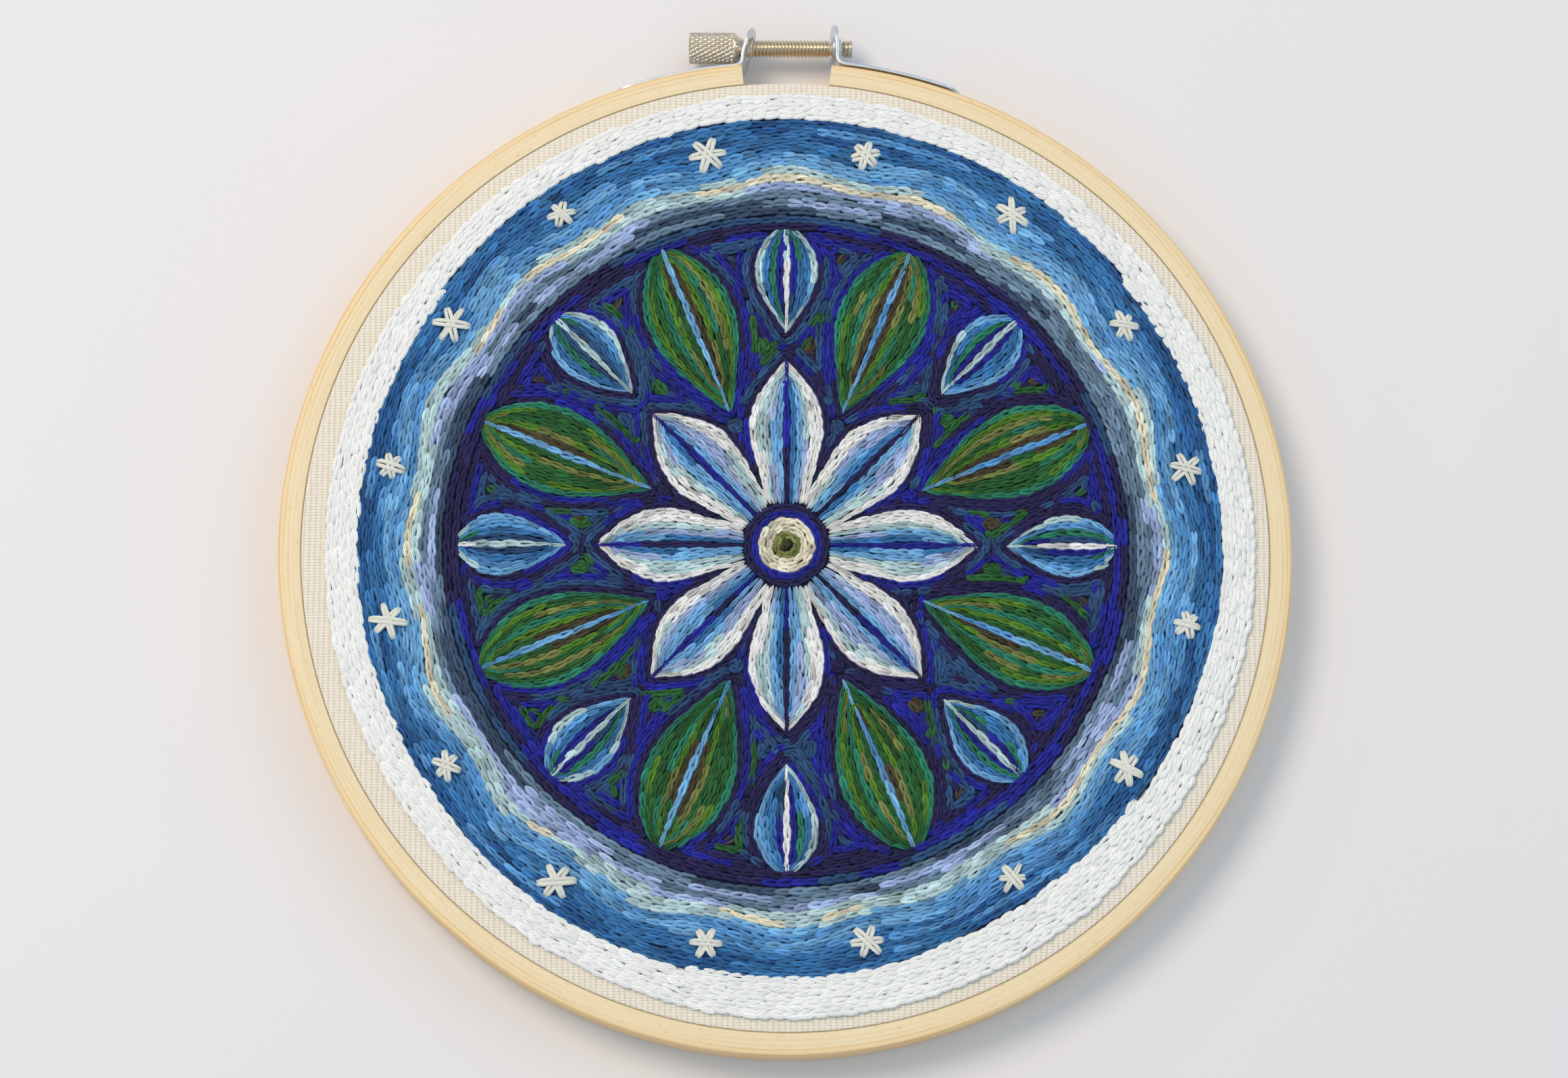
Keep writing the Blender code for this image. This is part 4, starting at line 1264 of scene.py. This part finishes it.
def screwBlank():  # the turned profile from the point to the head, as (radius, place along X)
    c = closingScrew
    profile = [(0.0, c["right"]), (c["endRadius"] - c["endChamfer"], c["right"]),
               (c["endRadius"], c["right"] - 0.08 * mm)]
    threadRows = int((c["threadTo"] - c["threadFrom"]) / c["pitch"] * c["rowsPerTurn"])
    for row in range(threadRows + 1):
        profile.append((c["crest"], c["threadTo"] + (c["threadFrom"] - c["threadTo"]) * row / threadRows))
    profile += [(c["crest"], c["threadFrom"] - 0.06 * mm), (c["shank"], c["threadFrom"] - 0.1 * mm)]
    profile += [(c["shank"], c["coneEnd"]), (c["shoulder"] - c["coneRim"], c["coneEnd"])]
    profile += [(c["shoulder"] - 0.18 * mm, c["coneEnd"] - 0.04 * mm), (c["shoulder"], c["headRight"])]
    inwards, along = c["headChamfer"]
    gripLeft = c["headLeft"] + along
    for row in range(c["gripRows"] + 1):
        place = c["gripRight"] + (gripLeft - c["gripRight"]) * row / c["gripRows"]
        profile.append((c["headRadius"], place))
    profile += [(c["headRadius"] - inwards, c["headLeft"]), (c["headHollow"], c["headLeft"])]
    profile.append((0.0, c["headLeft"]))
    return profile


def knurled(radius, turn, place):  # two crossing rows of slanting grooves; one is deeper
    c = closingScrew
    depth = 0.0
    for sign, share in ((1, 0.65), (-1, 0.5)):
        across = (c["diamondsAround"] * turn + sign * place / c["diamondLength"]) % 1.0
        depth += share * (1 - min(1.0, c["knurlSlope"] * (1 - abs(2 * across - 1))))
    fade = max(0.0, min(1.0, (c["gripRight"] - place) / c["knurlFade"]))
    return radius - c["knurlDepth"] * depth * fade


def threaded(radius, turn, place):  # one helical groove that fades at both ends
    c = closingScrew
    wave = abs(2 * ((place / c["pitch"] + turn) % 1.0) - 1)
    groove = max(0.0, (wave - 1) * c["grooveShare"] + 1)
    fade = min(1.0, (c["threadTo"] - place) / c["pitch"] + 0.25, (place - c["threadFrom"]) / c["pitch"])
    wanted = radius - (c["crest"] - c["root"]) * groove * fade
    if c["neckFrom"] < place < c["neckTo"]:
        wanted = min(wanted, c["root"])
    return wanted


def makeScrew():  # the thread and the knurl are pressed into the surface of the blank
    c = closingScrew
    bm = spinProfile(screwBlank(), 0.0, math.tau, c["steps"], False)
    for vert in bm.verts:
        radius = math.hypot(vert.co.x, vert.co.y)
        turn = math.atan2(vert.co.y, vert.co.x) / math.tau
        place = vert.co.z
        if radius > c["headRadius"] - 0.01 * mm:
            wanted = knurled(radius, turn, place)
        elif abs(radius - c["crest"]) < 0.001 * mm and c["threadFrom"] <= place <= c["threadTo"]:
            wanted = threaded(radius, turn, place)
        else:
            continue
        vert.co.x *= wanted / radius
        vert.co.y *= wanted / radius
    layOnScrewAxis(bm)
    addPiece("closingScrewMetal", meshFrom(bm, "closingScrewMetal", 50), [screwMetal],
             "closing_screw", ["thumb_screw"])


makeScrew()
print("screw made")


# the camera, fitted to the outline of the ring in the photo
photoView = {
    "imageWidth": 2321,
    "pixelsPerMetre": 9386.0,
    "distance": 0.62,
    "sensorWidth": 36.0,
    "tiltDegrees": 11.9,
    "tiltTowards": (-0.0993, -0.9951),
    "aim": (-0.00040, 0.00111),  # from the hoop's middle
}


def makeCamera():
    camera = bpy.data.objects.new("photoCamera", bpy.data.cameras.new("photoCamera"))
    bpy.context.scene.collection.objects.link(camera)
    tilt = math.radians(photoView["tiltDegrees"])
    towards = Vector((*photoView["tiltTowards"], 0)).normalized()
    aim = Vector((photoView["aim"][0], photoView["aim"][1] + hoopY, hoopDepth))
    away = towards * math.sin(tilt) + Vector((0, 0, math.cos(tilt)))
    right = Vector((0, 1, 0)).cross(away).normalized()
    upright = away.cross(right)
    turn = Matrix((right, upright, away)).transposed().to_4x4()
    camera.matrix_world = Matrix.Translation(aim + away * photoView["distance"]) @ turn
    camera.data.sensor_width = photoView["sensorWidth"]
    pixelsWide = photoView["pixelsPerMetre"] * photoView["distance"]
    camera.data.lens = photoView["sensorWidth"] * pixelsWide / photoView["imageWidth"]
    camera.data.clip_start = 0.01
    bpy.context.scene.camera = camera


studio = {
    "tableColour": srgb(237, 234, 234),
    "tableShade": srgb(232, 230, 231),
    "tableSize": 3.0,
    "tableDrop": 0.02 * mm,
    "worldColour": (0.76, 0.89, 1.0),
    "worldStrength": 0.67,
    "lights": {
        "windowLight": {
            "place": (-0.58, 0.42, 1.10), "size": 0.60, "power": 8.4, "colour": (1.0, 0.80, 0.62)},
        "roomLight": {
            "place": (0.98, 0.65, 1.24), "size": 1.0, "power": 2.4, "colour": (0.84, 0.92, 1.0)},
    },
}


def makeTable():
    bm = bmesh.new()
    bmesh.ops.create_grid(bm, x_segments=1, y_segments=1, size=studio["tableSize"])
    mesh = bpy.data.meshes.new("paleTable")
    bm.to_mesh(mesh)
    bm.free()
    mesh.transform(Matrix.Translation((0, 0, -studio["tableDrop"])))
    table = bpy.data.objects.new("paleTable", mesh)
    bpy.context.scene.collection.objects.link(table)
    material, tree, shader = newMaterial("paleTable", Roughness=0.7)
    cloudy = noise(tree, objectPlace(tree), 6.0, 2.0)
    mottled = mixColour(tree, cloudy, studio["tableColour"], studio["tableShade"])
    tree.links.new(mottled, shader.inputs["Base Color"])
    mesh.materials.append(material)


def makeLights():
    bpy.context.scene.view_settings.view_transform = "Standard"
    world = bpy.data.worlds.new("softRoom")
    world.use_nodes = True
    background = world.node_tree.nodes["Background"]
    background.inputs[0].default_value = (*studio["worldColour"], 1.0)
    background.inputs[1].default_value = studio["worldStrength"]
    bpy.context.scene.world = world
    for name, wanted in studio["lights"].items():
        light = bpy.data.lights.new(name, "AREA")
        light.shape = "DISK"
        light.size = wanted["size"]
        light.energy = wanted["power"]
        light.color = wanted["colour"]
        lamp = bpy.data.objects.new(name, light)
        lamp.location = wanted["place"]
        lamp.rotation_euler = (-Vector(wanted["place"])).to_track_quat("-Z", "Y").to_euler()
        bpy.context.scene.collection.objects.link(lamp)


makeCamera()
makeTable()
makeLights()
print("camera and lights made")
